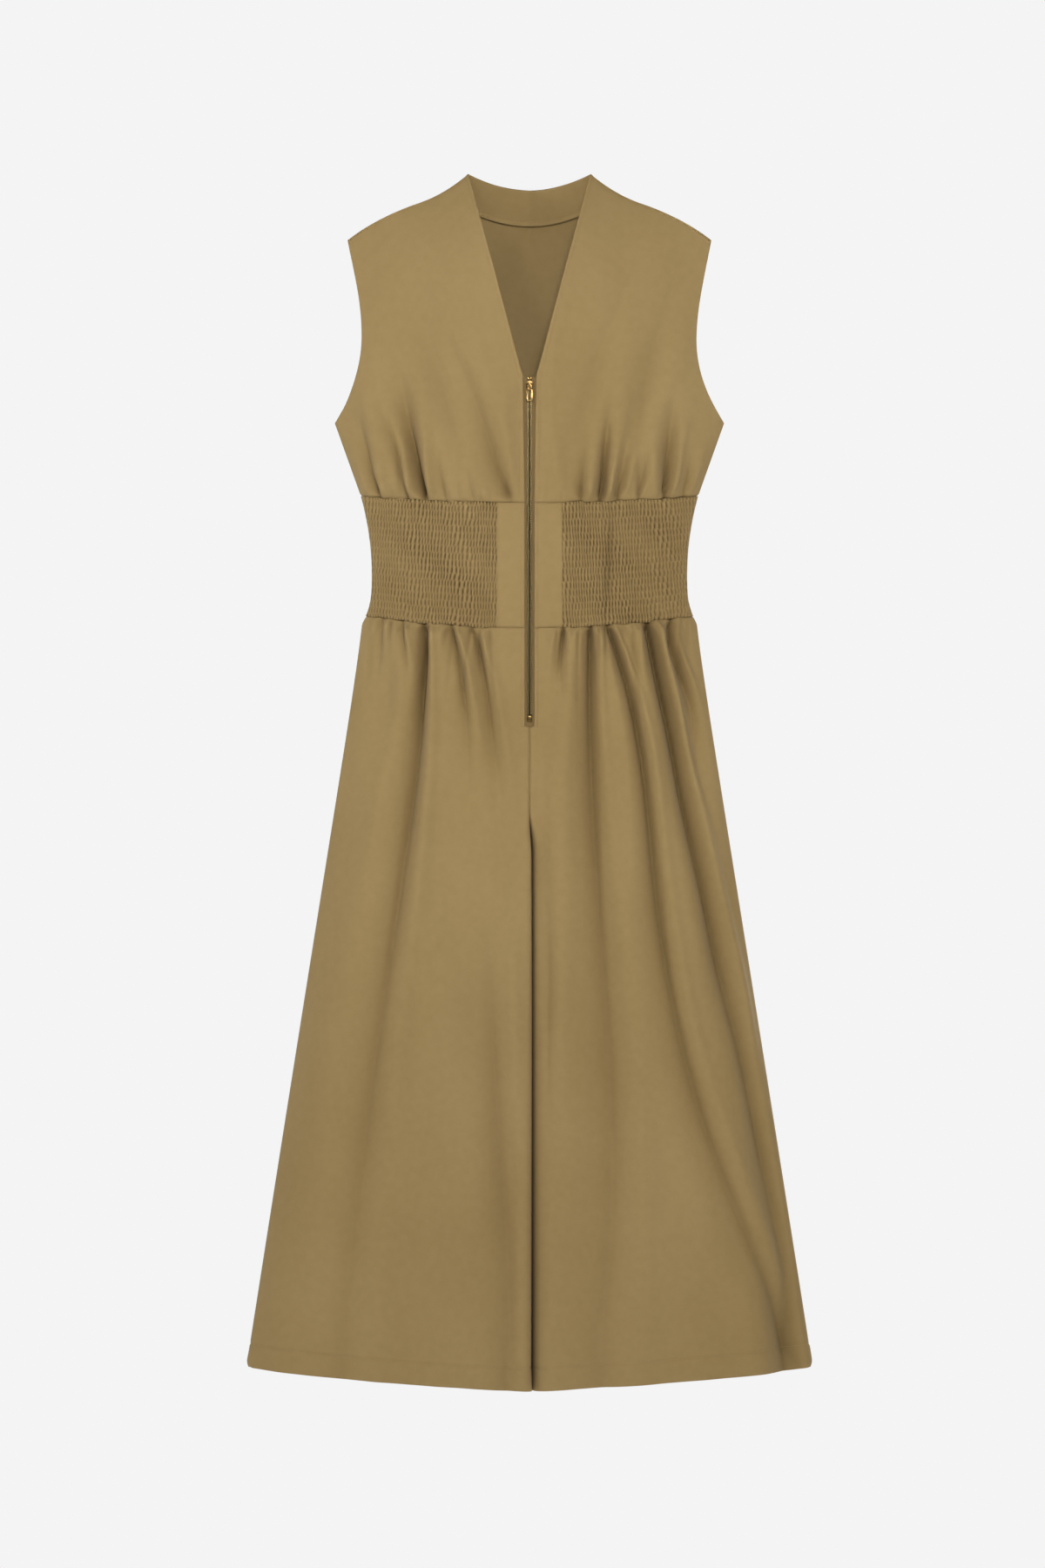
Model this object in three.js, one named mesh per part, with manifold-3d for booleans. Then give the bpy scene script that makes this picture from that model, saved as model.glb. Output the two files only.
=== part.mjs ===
// A sleeveless wide-leg jumpsuit with a grown-on collar, a metal front zip and a shirred waist.
// It hangs from its shoulders. Millimetres, +Z up, the front faces -Y and the wearer's left is +X.
// The origin is the middle of the neck base, between the shoulders, where a hanger's stem stands.
import * as THREE from 'three';
import { mergeVertices } from 'three/addons/utils/BufferGeometryUtils.js';
import Module from 'manifold-3d';

const wasm = await Module();
wasm.setup();

// Cloth and seams
const clothThickness = 1.2;
const seamGap = 0.3; // from each cut edge to the seam's middle plane
const layerGap = 0.8; // between a cloth and the facing or thread behind it
const facingThickness = 0.8;

// Neck and shoulders
const collarPeakHalf = 70.5; // half the distance between the two collar peaks
const collarHeight = 49; // peaks above the neck base
const collarDip = 16.5; // the back of the collar below the peaks
const neckOpenness = 0.9; // how fast the collar leaves the shoulder seam towards the middle
const shoulderTipHalf = 208.5;
const shoulderDrop = 76; // shoulder tip below the collar peak
const shoulderRound = 200; // height over which the cloth reaches its full depth
const backFacingDepth = 40; // height of the back neck facing at its middle

// Armholes and bodice
const chestHalf = 223.5; // half width at the underarm
const armholeDepth = 210; // underarm below the shoulder tip
const armholeScoop = 17.5; // how far the armhole cuts in from the shoulder tip
const lensSpare = 2.5; // the chest's section reaches this far past the underarm
const vPointDrop = 186; // bottom of the V below the neck base
const vPointSpread = 2; // half the V's bottom beyond the zip edges

// Waist band
const waistSeamDrop = 330; // bodice seam below the neck base, at the middle
const waistSeamRise = 9; // the same seam is higher at the sides
const waistSeamHalf = 193.5;
const waistHalf = 181; // at the narrowest
const waistNarrowDrop = 80; // narrowest place below the bodice seam
const bandHeight = 143; // at the middle
const bandBottomRise = 15;
const bandBottomHalf = 188;
const shirringInset = 31; // plain strip between the zip edge and the shirring
const shirringRows = 18;
const shirringSideMargin = 0.04; // share of the band left plain at the side seam
const elasticRadius = 0.4;

// Legs
const crotchDrop = 243; // crotch below the middle of the leg seam
const inseam = 627.5;
const hemHalf = 325; // outer corner of a hem from the middle
const hemRise = 24; // outer corner of a hem above its inner corner
const crotchBlend = 116; // height over which one body section becomes two leg sections

// Depths of the sections, from the middle plane to the outside of the cloth
const frontDepth = 50;
const backDepth = 46;
const legDepth = 58;

// Zip
const zipSlotHalf = 6; // from the middle to each folded edge beside the chain
const tapeWidth = 12;
const tapeThickness = 0.6;
const tapeGap = 0.45; // between the cloth and the tape behind it
const chainHalf = 2.6; // outer edge of a row of teeth
const toothTip = 0.75; // teeth end this far from the middle, which leaves the slider's post its way
const toothRoot = 1.7; // the beads run from here to chainHalf
const toothPitch = 2;
const toothShare = 0.5; // a tooth's share of the pitch
const toothThickness = 2.2;
const stopLength = 4;
const stopClearance = 0.4;
const stopProud = 0.2; // stops are thicker than the teeth by this much each way
const bottomStopLength = 7;
const zipLength = 393; // from the top of the top stops to the end of the bottom stop
const tapeEnd = 12; // tape past the stops at the lower end
const slotPastStop = 5;

// Slider and pull tab
const sliderLength = 11;
const pivotRise = 0.8; // hinge line above the slider's middle
const sliderFlare = 0.4; // half width gained from the slider's lower end to its upper end
const sliderPlate = 1.1;
const sliderClearance = 0.4;
const flangeWidth = 0.6;
const tapeClearance = 0.3;
const postHalf = 0.4;
const postLength = 2.4;
const crownHalf = 0.6;
const crownBar = 1.1;
const tabPlay = 1; // clear height under the crown beyond the tab's thickness
const crownOpening = 3.8; // clear length under the crown
const tabThickness = 1.2;
const tabWidth = 8;
const tabLength = 18.5; // from the hinge line to the tip
const tabBar = 1.7;
const tabCorner = 1.2;
const eyePlay = 0.6; // between the crown and each side of the tab's eye
const eyeWall = 1;
const eyeEndPlay = 0.7; // between the crown and the end of the eye
const neckLength = 1;

// Heights that follow from the sizes above
const shoulderTipZ = collarHeight - shoulderDrop;
const underarmZ = shoulderTipZ - armholeDepth;
const bandBottomZ = -(waistSeamDrop + bandHeight);
const crotchZ = bandBottomZ - crotchDrop;
const hemZ = crotchZ - inseam;
const zipTopZ = -vPointDrop - 1;
const zipBottomZ = zipTopZ - zipLength;
const slotEndZ = zipBottomZ - slotPastStop;

// Sizes of the slider and its tab that follow from the parts they hold
const flangeInner = chainHalf + sliderClearance;
const sliderBottomHalf = flangeInner + flangeWidth;
const sliderTopHalf = sliderBottomHalf + sliderFlare;
const crownReach = tabThickness + tabPlay;
const eyeHalf = crownHalf + eyePlay;
const eyeLength = crownOpening / 2 + crownBar + eyeEndPlay;

// Depths of the layers of the zip, from front to back
const tapeFrontY = -(seamGap + frontDepth - clothThickness) + tapeGap;
const tapeMiddleY = tapeFrontY + tapeThickness / 2;
const chainFrontY = tapeMiddleY - toothThickness / 2;
const chainBackY = tapeMiddleY + toothThickness / 2;
const sliderFaceY = chainFrontY - sliderClearance - sliderPlate;
const sliderBackY = chainBackY + sliderClearance + sliderPlate;
const pivotY = sliderFaceY - crownReach / 2;
const sliderZ = zipTopZ - stopLength - stopClearance - sliderLength / 2;
const pivotZ = sliderZ + pivotRise;

const front = { sign: -1, depth: frontDepth };
const back = { sign: 1, depth: backDepth };

// Materials

const fabricColour = 0x9c8459;
const facingColour = 0x927a50;
const tapeColour = 0x85693f;
const elasticColour = 0xb7a684;
const brassColour = 0xb39a62;

function clothMaterial() {
  return new THREE.MeshStandardMaterial({ color: fabricColour, roughness: 0.9, metalness: 0 });
}

function facingMaterial() {
  return new THREE.MeshStandardMaterial({ color: facingColour, roughness: 0.9, metalness: 0 });
}

function tapeMaterial() {
  return new THREE.MeshStandardMaterial({ color: tapeColour, roughness: 0.85, metalness: 0 });
}

function elasticMaterial() {
  return new THREE.MeshStandardMaterial({ color: elasticColour, roughness: 0.7, metalness: 0 });
}

function brassMaterial() {
  return new THREE.MeshStandardMaterial({ color: brassColour, roughness: 0.35, metalness: 1 });
}

// Closed solids from grids of points

function signedVolume(points, faces) {
  let total = 0;
  for (const [a, b, c] of faces) {
    total += points[a].dot(new THREE.Vector3().crossVectors(points[b], points[c]));
  }
  return total;
}

function solidFrom(points, faces) {
  const inward = signedVolume(points, faces) < 0;
  const geometry = new THREE.BufferGeometry();
  const positions = points.flatMap((point) => [point.x, point.y, point.z]);
  const index = faces.flatMap(([a, b, c]) => (inward ? [a, c, b] : [a, b, c]));
  geometry.setAttribute('position', new THREE.Float32BufferAttribute(positions, 3));
  geometry.setIndex(index);
  geometry.computeVertexNormals();
  return geometry;
}

// A cloth: the grid of us by vs, from the surface at outerInset to the one at innerInset.
function sheetSolid(us, vs, pointAt, outerInset, innerInset) {
  const points = [];
  for (const inset of [outerInset, innerInset]) {
    for (const v of vs) {
      for (const u of us) {
        points.push(pointAt(u, v, inset));
      }
    }
  }
  const columns = us.length;
  const layer = columns * vs.length;
  const faces = [];
  const addQuad = (a, b, c, d) => faces.push([a, b, c], [a, c, d]);
  for (let row = 0; row < vs.length - 1; row += 1) {
    for (let column = 0; column < columns - 1; column += 1) {
      const a = row * columns + column;
      addQuad(a, a + 1, a + columns + 1, a + columns);
      addQuad(layer + a, layer + a + columns, layer + a + columns + 1, layer + a + 1);
    }
    const left = row * columns;
    const right = left + columns - 1;
    addQuad(left, left + columns, layer + left + columns, layer + left);
    addQuad(right, layer + right, layer + right + columns, right + columns);
  }
  for (let column = 0; column < columns - 1; column += 1) {
    const low = column;
    const high = layer - columns + column;
    addQuad(low, layer + low, layer + low + 1, low + 1);
    addQuad(high, high + 1, layer + high + 1, layer + high);
  }
  return solidFrom(points, faces);
}

// A square thread through points that lie in a surface which faces +Y or -Y.
function threadSolid(path, radius) {
  const depthWay = new THREE.Vector3(0, 1, 0);
  const points = [];
  path.forEach((point, i) => {
    const before = path[Math.max(i - 1, 0)];
    const after = path[Math.min(i + 1, path.length - 1)];
    const sideIn = new THREE.Vector3().subVectors(point, before).cross(depthWay).normalize();
    const sideOut = new THREE.Vector3().subVectors(after, point).cross(depthWay).normalize();
    const side = i === 0 ? sideOut.clone() : sideIn.clone();
    if (i > 0 && i < path.length - 1) {
      side.add(sideOut).multiplyScalar(1 / (1 + sideIn.dot(sideOut)));
    }
    for (const [across, deep] of [[1, 1], [-1, 1], [-1, -1], [1, -1]]) {
      const corner = point.clone().addScaledVector(side, across * radius);
      points.push(corner.addScaledVector(depthWay, deep * radius));
    }
  });
  const faces = [[0, 1, 2], [0, 2, 3]];
  for (let i = 0; i < path.length - 1; i += 1) {
    for (let k = 0; k < 4; k += 1) {
      const a = 4 * i + k;
      const b = 4 * i + ((k + 1) % 4);
      faces.push([a, a + 4, b + 4], [a, b + 4, b]);
    }
  }
  const last = 4 * (path.length - 1);
  faces.push([last, last + 2, last + 1], [last, last + 3, last + 2]);
  return solidFrom(points, faces);
}

// Grid lines that pass through every stop, with a number of equal steps between each two.
function linesThrough(stops, counts) {
  const lines = [stops[0]];
  counts.forEach((count, i) => {
    for (let k = 1; k <= count; k += 1) {
      lines.push(stops[i] + ((stops[i + 1] - stops[i]) * k) / count);
    }
  });
  return lines;
}

// Outlines of the garment, as x and height

const bezier = (...xz) => new THREE.CubicBezierCurve(...xz.map(([x, z]) => new THREE.Vector2(x, z)));

function joined(...curves) {
  const path = new THREE.CurvePath();
  curves.forEach((curve) => path.add(curve));
  return path;
}

function line(from, to) {
  return new THREE.LineCurve(new THREE.Vector2(...from), new THREE.Vector2(...to));
}

// The shoulder seam: steep beside the collar, easy along the shoulder, rounded at the tip.
function shoulderSeam() {
  const run = shoulderTipHalf - collarPeakHalf;
  const at = (share, drop) => [collarPeakHalf + run * share, collarHeight - shoulderDrop * drop];
  const knee = at(0.424, 0.447);
  return [bezier(at(0, 0), at(0.127, 0.197), at(0.272, 0.355), knee),
    bezier(knee, at(0.612, 0.566), at(0.83, 0.75), at(1, 1))];
}

function armhole() {
  const scoopHalf = shoulderTipHalf - armholeScoop;
  const at = (half, share) => [half, shoulderTipZ - armholeDepth * share];
  const scoop = at(scoopHalf, 0.543);
  const lowerHalf = scoopHalf + (chestHalf - scoopHalf) * 0.37;
  const underarm = [bezier(at(chestHalf, 1), at(lowerHalf, 0.848), at(scoopHalf, 0.705), scoop)];
  const upperHalf = shoulderTipHalf - armholeScoop * 0.43;
  return [...underarm, bezier(scoop, at(scoopHalf, 0.371), at(upperHalf, 0.186), at(shoulderTipHalf, 0))];
}

const bandTop = (x) => -waistSeamDrop + waistSeamRise * (x / waistSeamHalf) ** 2;
const bandBottom = (x) => bandBottomZ + bandBottomRise * (x / bandBottomHalf) ** 2;
const hemLine = (x) => hemZ + hemRise * (x / hemHalf) ** 1.2;
const sideTopZ = bandTop(waistSeamHalf);
const sideBottomZ = bandBottom(bandBottomHalf);
const sideHemZ = hemLine(hemHalf);

// Half the width of the body's section at a height. Beside the armholes it runs on as a full section.
function sideHalf(z) {
  const narrowZ = -(waistSeamDrop + waistNarrowDrop);
  if (z > underarmZ) {
    return chestHalf + lensSpare * Math.min(1, (z - underarmZ) / (armholeDepth / 4));
  }
  if (z > sideTopZ) {
    return waistSeamHalf + ((chestHalf - waistSeamHalf) * (z - sideTopZ)) / (underarmZ - sideTopZ);
  }
  if (z > narrowZ) {
    return waistHalf + (waistSeamHalf - waistHalf) * ((z - narrowZ) / (sideTopZ - narrowZ)) ** 2;
  }
  if (z > sideBottomZ) {
    return waistHalf + (bandBottomHalf - waistHalf) * ((narrowZ - z) / (narrowZ - sideBottomZ)) ** 3;
  }
  return bandBottomHalf + ((hemHalf - bandBottomHalf) * (sideBottomZ - z)) / (sideBottomZ - sideHemZ);
}

// Height of the shoulder seam above a place. Inside the collar peaks it goes on rising.
const shoulderPath = joined(...shoulderSeam());
function shoulderHeight(x) {
  const half = Math.abs(x);
  if (half <= collarPeakHalf) {
    return collarHeight + neckOpenness * (collarPeakHalf - half);
  }
  let [low, high] = [0, 1];
  for (let i = 0; i < 30; i += 1) {
    const middle = (low + high) / 2;
    if (shoulderPath.getPoint(middle).x < half) {
      low = middle;
    } else {
      high = middle;
    }
  }
  return shoulderPath.getPoint(low).y;
}

// Sections: a lens across the body, and its growth down from the shoulder seam

function lens(share) {
  return Math.max(0, 1 - Math.abs(share) ** 2.2) ** 0.75;
}

// A leg's section is nearly flat up to the seam between the legs, and thins out to the side seam.
function legLens(u) {
  const share = 2 * u - 1;
  return share < 0 ? (1 - Math.abs(share) ** 5) ** 0.6 : lens(share);
}

function fullness(x, z) {
  const below = Math.max(0, shoulderHeight(x) - z);
  return Math.sin((Math.PI / 2) * Math.min(1, below / shoulderRound)) ** 0.8;
}

// A point of the torso's cloth, inset from the outside of the cloth towards the body.
function torsoPoint(x, z, face, inset) {
  const half = sideHalf(z);
  const full = fullness(x, z);
  const y = face.sign * (seamGap + (face.depth - inset) * lens(x / half) * full);
  return new THREE.Vector3(x * (1 - inset / half), y, z - inset * (1 - full));
}

// A surface patch between four outlines, in x and height.
function patch(bottom, top, inner, outer) {
  const corner = (curve, end) => curve.getPoint(end);
  return (u, v) => {
    const across = bottom.getPoint(u).multiplyScalar(1 - v).add(top.getPoint(u).multiplyScalar(v));
    const up = inner.getPoint(v).multiplyScalar(1 - u).add(outer.getPoint(v).multiplyScalar(u));
    const low = corner(bottom, 0).multiplyScalar(1 - u).add(corner(bottom, 1).multiplyScalar(u));
    const high = corner(top, 0).multiplyScalar(1 - u).add(corner(top, 1).multiplyScalar(u));
    return across.add(up).sub(low.multiplyScalar(1 - v)).sub(high.multiplyScalar(v));
  };
}

function waistSeamCurve(from) {
  const lift = seamGap;
  const z = (x) => bandTop(x) + lift;
  const middle = (from + waistSeamHalf) / 2;
  const pull = 2 * z(middle) - (z(from) + z(waistSeamHalf)) / 2;
  return new THREE.QuadraticBezierCurve(new THREE.Vector2(from, z(from)),
    new THREE.Vector2(middle, pull), new THREE.Vector2(waistSeamHalf, z(waistSeamHalf)));
}

const sideSeam = line([waistSeamHalf, sideTopZ + seamGap], [chestHalf, underarmZ]);
const outerEdge = joined(sideSeam, ...armhole());
const vPoint = [zipSlotHalf + vPointSpread, -vPointDrop];
const zipEdge = line([zipSlotHalf, bandTop(zipSlotHalf) + seamGap], vPoint);
const vEdge = line(vPoint, [collarPeakHalf, collarHeight]);
const frontInnerEdge = joined(zipEdge, vEdge);
const backCollarTop = new THREE.QuadraticBezierCurve(new THREE.Vector2(0, collarHeight - collarDip),
  new THREE.Vector2(collarPeakHalf / 2, collarHeight - collarDip),
  new THREE.Vector2(collarPeakHalf, collarHeight));
const backTop = joined(backCollarTop, ...shoulderSeam());
const backMiddle = line([0, bandTop(0) + seamGap], [0, collarHeight - collarDip]);

const frontPatch = patch(waistSeamCurve(zipSlotHalf), shoulderPath, frontInnerEdge, outerEdge);
const backPatch = patch(waistSeamCurve(0), backTop, backMiddle, outerEdge);

const underarmAt = sideSeam.getLength() / outerEdge.getLength();
const vPointAt = zipEdge.getLength() / frontInnerEdge.getLength();
const peakAt = backCollarTop.getLength() / backTop.getLength();
const backFacingAt = 1 - backFacingDepth / backMiddle.getLength();
const frontStops = [Math.min(underarmAt, vPointAt), Math.max(underarmAt, vPointAt)];

const frontRows = linesThrough([0, ...frontStops, 1], [3, 2, 10]);
const frontColumns = linesThrough([0, 1], [8]);
const backRows = linesThrough([0, underarmAt, backFacingAt, 1], [3, 9, 2]);
const backHalfColumns = linesThrough([0, peakAt, 1], [3, 6]);

// A grid of one half as a grid of both, by counting the other half below zero.
const bothHalves = (lines) => [...lines.slice(1).reverse().map((value) => -value), ...lines];

function frontBodicePoint(side) {
  return (u, v, inset) => {
    const place = frontPatch(u, v);
    return torsoPoint(side * place.x, place.y, front, inset);
  };
}

function backBodicePoint(u, v, inset) {
  const place = backPatch(Math.abs(u), v);
  return torsoPoint(Math.sign(u) * place.x, place.y, back, inset);
}

// Waist band: u runs from the zip edge, or the middle of the back, to the side seam.
const shirringAt = shirringInset / (waistHalf - zipSlotHalf);
const bandColumns = linesThrough([0, shirringAt, 1 - shirringSideMargin, 1], [1, 5, 1]);
const bandRows = linesThrough([0, 1], [6]);

function bandPoint(face, innerHalf) {
  return (u, v, inset) => {
    const way = u < 0 ? -1 : 1;
    const share = Math.abs(u);
    const rough = bandBottom(bandBottomHalf * share) * (1 - v) + bandTop(waistSeamHalf * share) * v;
    const x = innerHalf + (sideHalf(rough) - innerHalf) * share;
    const low = bandBottom(x) + seamGap;
    const high = bandTop(x) - seamGap;
    return torsoPoint(way * x, low + (high - low) * v, face, inset);
  };
}

function bandSide(face, side) {
  const pointAt = bandPoint(face, zipSlotHalf);
  return (u, v, inset) => {
    const point = pointAt(u, v, inset);
    return point.setX(side * point.x);
  };
}

// One elastic thread sewn to and fro behind the band, row above row.
function elasticThread(pointAt, columns) {
  const inset = clothThickness + layerGap + elasticRadius;
  const path = [];
  for (let row = 0; row < shirringRows; row += 1) {
    const v = (row + 0.5) / shirringRows;
    const way = row % 2 === 0 ? columns : [...columns].reverse();
    way.forEach((u) => path.push(pointAt(u, v, inset)));
  }
  return threadSolid(path, elasticRadius);
}

// Legs: u runs from the middle seam to the side seam, v from the hem to the waist band.
const slotEndAt = (slotEndZ - hemZ) / (bandBottomZ - hemZ);
const slotClose = 0.006; // share of the leg over which the slot narrows to the seam
const crotchAt = (crotchZ - hemZ) / (bandBottomZ - hemZ);
const legRows = linesThrough([0, crotchAt, slotEndAt - slotClose, slotEndAt, 1], [8, 4, 1, 3]);
const legColumnCount = 10;
const legColumns = Array.from({ length: legColumnCount + 1 },
  (_, i) => (1 - Math.cos((Math.PI * i) / legColumnCount)) / 2);

function legPoint(face, side) {
  return (u, v, inset) => {
    const rough = hemLine(hemHalf * u) * (1 - v) + bandBottom(bandBottomHalf * u) * v;
    const slotted = face === front && v >= slotEndAt;
    const innerHalf = slotted ? zipSlotHalf : seamGap;
    const reach = innerHalf + (sideHalf(rough) - innerHalf) * u;
    const z = hemLine(reach) * (1 - v) + (bandBottom(reach) - seamGap) * v;
    const split = THREE.MathUtils.smoothstep(crotchZ + crotchBlend - z, 0, crotchBlend);
    const inner = innerHalf + inset * split;
    const outer = sideHalf(rough) - inset;
    const body = (face.depth - inset) * lens(reach / sideHalf(rough));
    const leg = (legDepth - inset) * legLens(u);
    const y = face.sign * (seamGap + body * (1 - split) + leg * split);
    return new THREE.Vector3(side * (inner + (outer - inner) * u), y, z);
  };
}

// Zip

function box(x0, x1, y0, y1, z0, z1) {
  const geometry = new THREE.BoxGeometry(x1 - x0, y1 - y0, z1 - z0);
  return geometry.translate((x0 + x1) / 2, (y0 + y1) / 2, (z0 + z1) / 2);
}

// An outline drawn as x and height, made solid between two depths.
function plate(shape, y0, y1) {
  const geometry = new THREE.ExtrudeGeometry(shape, { depth: y1 - y0, bevelEnabled: false, curveSegments: 6 });
  return geometry.rotateX(Math.PI / 2).translate(0, y1, 0);
}

function toManifold(geometry) {
  const bare = geometry.clone();
  bare.deleteAttribute('normal');
  bare.deleteAttribute('uv');
  const merged = mergeVertices(bare, 1e-4);
  return new wasm.Manifold(new wasm.Mesh({
    numProp: 3,
    vertProperties: new Float32Array(merged.attributes.position.array),
    triVerts: new Uint32Array(merged.index.array),
  }));
}

function union(...geometries) {
  const mesh = geometries.map(toManifold).reduce((all, one) => all.add(one)).getMesh();
  const geometry = new THREE.BufferGeometry();
  geometry.setAttribute('position', new THREE.Float32BufferAttribute(mesh.vertProperties, 3));
  geometry.setIndex([...mesh.triVerts]);
  geometry.computeVertexNormals();
  return geometry;
}

function sideBox(side, x0, x1, y0, y1, z0, z1) {
  return side > 0 ? box(x0, x1, y0, y1, z0, z1) : box(-x1, -x0, y0, y1, z0, z1);
}

function zipTape(side) {
  const inner = chainHalf + tapeClearance;
  return sideBox(side, inner, inner + tapeWidth, tapeFrontY, tapeFrontY + tapeThickness,
    zipBottomZ - tapeEnd, zipTopZ);
}

// A row of teeth on its bead. The rows are half a pitch apart, as they mesh.
function teethRow(side) {
  const topZ = zipTopZ - stopLength - tapeClearance;
  const bottomZ = zipBottomZ + bottomStopLength + tapeClearance;
  const stagger = side > 0 ? 0 : toothPitch / 2;
  const count = Math.floor((topZ - bottomZ - stagger) / toothPitch);
  const outline = new THREE.Shape();
  outline.moveTo(side * chainHalf, topZ);
  outline.lineTo(side * toothRoot, topZ);
  for (let i = 0; i < count; i += 1) {
    const high = topZ - stagger - toothPitch * (i + (1 - toothShare) / 2);
    const low = high - toothPitch * toothShare;
    outline.lineTo(side * toothRoot, high);
    outline.lineTo(side * toothTip, high);
    outline.lineTo(side * toothTip, low);
    outline.lineTo(side * toothRoot, low);
  }
  outline.lineTo(side * toothRoot, bottomZ);
  outline.lineTo(side * chainHalf, bottomZ);
  outline.closePath();
  return plate(outline, chainFrontY, chainBackY);
}

function topStop(side) {
  return sideBox(side, toothTip, chainHalf, chainFrontY - stopProud, chainBackY + stopProud,
    zipTopZ - stopLength, zipTopZ);
}

function bottomStop() {
  return box(-chainHalf, chainHalf, chainFrontY - stopProud, chainBackY + stopProud,
    zipBottomZ, zipBottomZ + bottomStopLength);
}

// The slider's plates narrow towards the closed end, with rounded shoulders.
function sliderOutline() {
  const half = sliderLength / 2;
  const outline = new THREE.Shape();
  outline.moveTo(-sliderBottomHalf, sliderZ - half);
  outline.lineTo(sliderBottomHalf, sliderZ - half);
  outline.lineTo(sliderTopHalf, sliderZ + half / 2);
  outline.quadraticCurveTo(sliderTopHalf, sliderZ + half, sliderTopHalf / 2, sliderZ + half);
  outline.lineTo(-sliderTopHalf / 2, sliderZ + half);
  outline.quadraticCurveTo(-sliderTopHalf, sliderZ + half, -sliderTopHalf, sliderZ + half / 2);
  outline.closePath();
  return outline;
}

function sliderBody() {
  const sink = sliderPlate / 2;
  const half = sliderLength / 2;
  const frontInner = sliderFaceY + sliderPlate;
  const backInner = sliderBackY - sliderPlate;
  const plates = [plate(sliderOutline(), sliderFaceY, frontInner),
    plate(sliderOutline(), backInner, sliderBackY)];
  const post = box(-postHalf, postHalf, frontInner - sink, backInner + sink,
    sliderZ + half - postLength, sliderZ + half);
  const flanges = [1, -1].flatMap((side) => [
    sideBox(side, flangeInner, sliderBottomHalf, frontInner - sink, tapeFrontY - tapeClearance,
      sliderZ - half, sliderZ + half / 2),
    sideBox(side, flangeInner, sliderBottomHalf, tapeFrontY + tapeThickness + tapeClearance,
      backInner + sink, sliderZ - half, sliderZ + half / 2)]);
  const crownTop = sliderFaceY - crownReach;
  const crownEnd = crownOpening / 2 + crownBar;
  const legs = [1, -1].map((way) => {
    const from = pivotZ + way * (crownOpening / 2);
    const to = pivotZ + way * crownEnd;
    return box(-crownHalf, crownHalf, crownTop - crownBar, sliderFaceY + sink,
      Math.min(from, to), Math.max(from, to));
  });
  const bridge = box(-crownHalf, crownHalf, crownTop - crownBar, crownTop,
    pivotZ - crownEnd, pivotZ + crownEnd);
  return union(...plates, post, ...flanges, ...legs, bridge);
}

function rectangle(halfWidth, low, high) {
  return [[-halfWidth, low], [halfWidth, low], [halfWidth, high], [-halfWidth, high]]
    .map(([x, z]) => new THREE.Vector2(x, z));
}

// The pull tab hangs from the crown by its eye: a small eye, a short neck and an open frame.
function pullTab() {
  const barHalf = tabThickness / 2;
  const eyeOuter = eyeHalf + eyeWall;
  const frameTop = pivotZ - eyeLength - neckLength;
  const tipZ = pivotZ - tabLength;
  const outline = new THREE.Shape();
  outline.moveTo(-eyeOuter, pivotZ + barHalf);
  outline.lineTo(-eyeOuter, frameTop);
  outline.lineTo(-tabWidth / 2 + tabCorner, frameTop);
  outline.lineTo(-tabWidth / 2, frameTop - tabCorner);
  outline.lineTo(-tabWidth / 2, tipZ + tabCorner);
  outline.quadraticCurveTo(-tabWidth / 2, tipZ, -tabWidth / 2 + tabCorner, tipZ);
  outline.lineTo(tabWidth / 2 - tabCorner, tipZ);
  outline.quadraticCurveTo(tabWidth / 2, tipZ, tabWidth / 2, tipZ + tabCorner);
  outline.lineTo(tabWidth / 2, frameTop - tabCorner);
  outline.lineTo(tabWidth / 2 - tabCorner, frameTop);
  outline.lineTo(eyeOuter, frameTop);
  outline.lineTo(eyeOuter, pivotZ + barHalf);
  outline.closePath();
  outline.holes.push(new THREE.Path(rectangle(eyeHalf, pivotZ - eyeLength, pivotZ - barHalf)));
  outline.holes.push(new THREE.Path(rectangle(tabWidth / 2 - tabBar, tipZ + tabBar, frameTop - tabBar)));
  return plate(outline, pivotY - tabThickness / 2, pivotY + tabThickness / 2);
}

// The assembly

const group = new THREE.Group();

function addPart(name, geometry, material) {
  const mesh = new THREE.Mesh(geometry, material);
  mesh.name = name;
  group.add(mesh);
}

const facingOuter = clothThickness + layerGap;
const facingInner = facingOuter + facingThickness;
const vFacingRows = frontRows.filter((v) => v > vPointAt + 1e-6);
const vFacingColumns = frontColumns.slice(0, 3);
const armholeRows = (rows) => rows.filter((v) => v >= underarmAt - 1e-6);
const armholeColumns = (columns) => columns.slice(-2);
const sides = [['left', 1], ['right', -1]];

for (const [name, side] of sides) {
  const bodice = frontBodicePoint(side);
  addPart(`bodice_front_${name}`, sheetSolid(frontColumns, frontRows, bodice, 0, clothThickness),
    clothMaterial());
  addPart(`neck_facing_front_${name}`,
    sheetSolid(vFacingColumns, vFacingRows, bodice, facingOuter, facingInner), facingMaterial());
  addPart(`armhole_facing_front_${name}`,
    sheetSolid(armholeColumns(frontColumns), armholeRows(frontRows), bodice, facingOuter, facingInner),
    facingMaterial());
}

addPart('bodice_back',
  sheetSolid(bothHalves(backHalfColumns), backRows, backBodicePoint, 0, clothThickness), clothMaterial());
addPart('neck_facing_back', sheetSolid(bothHalves(backHalfColumns.filter((u) => u <= peakAt + 1e-6)),
  backRows.filter((v) => v >= backFacingAt - 1e-6), backBodicePoint, facingOuter, facingInner),
facingMaterial());
for (const [name, side] of sides) {
  const outerColumns = armholeColumns(backHalfColumns);
  const columns = side > 0 ? outerColumns : outerColumns.map((u) => -u).reverse();
  addPart(`armhole_facing_back_${name}`,
    sheetSolid(columns, armholeRows(backRows), backBodicePoint, facingOuter, facingInner),
    facingMaterial());
}

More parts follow.
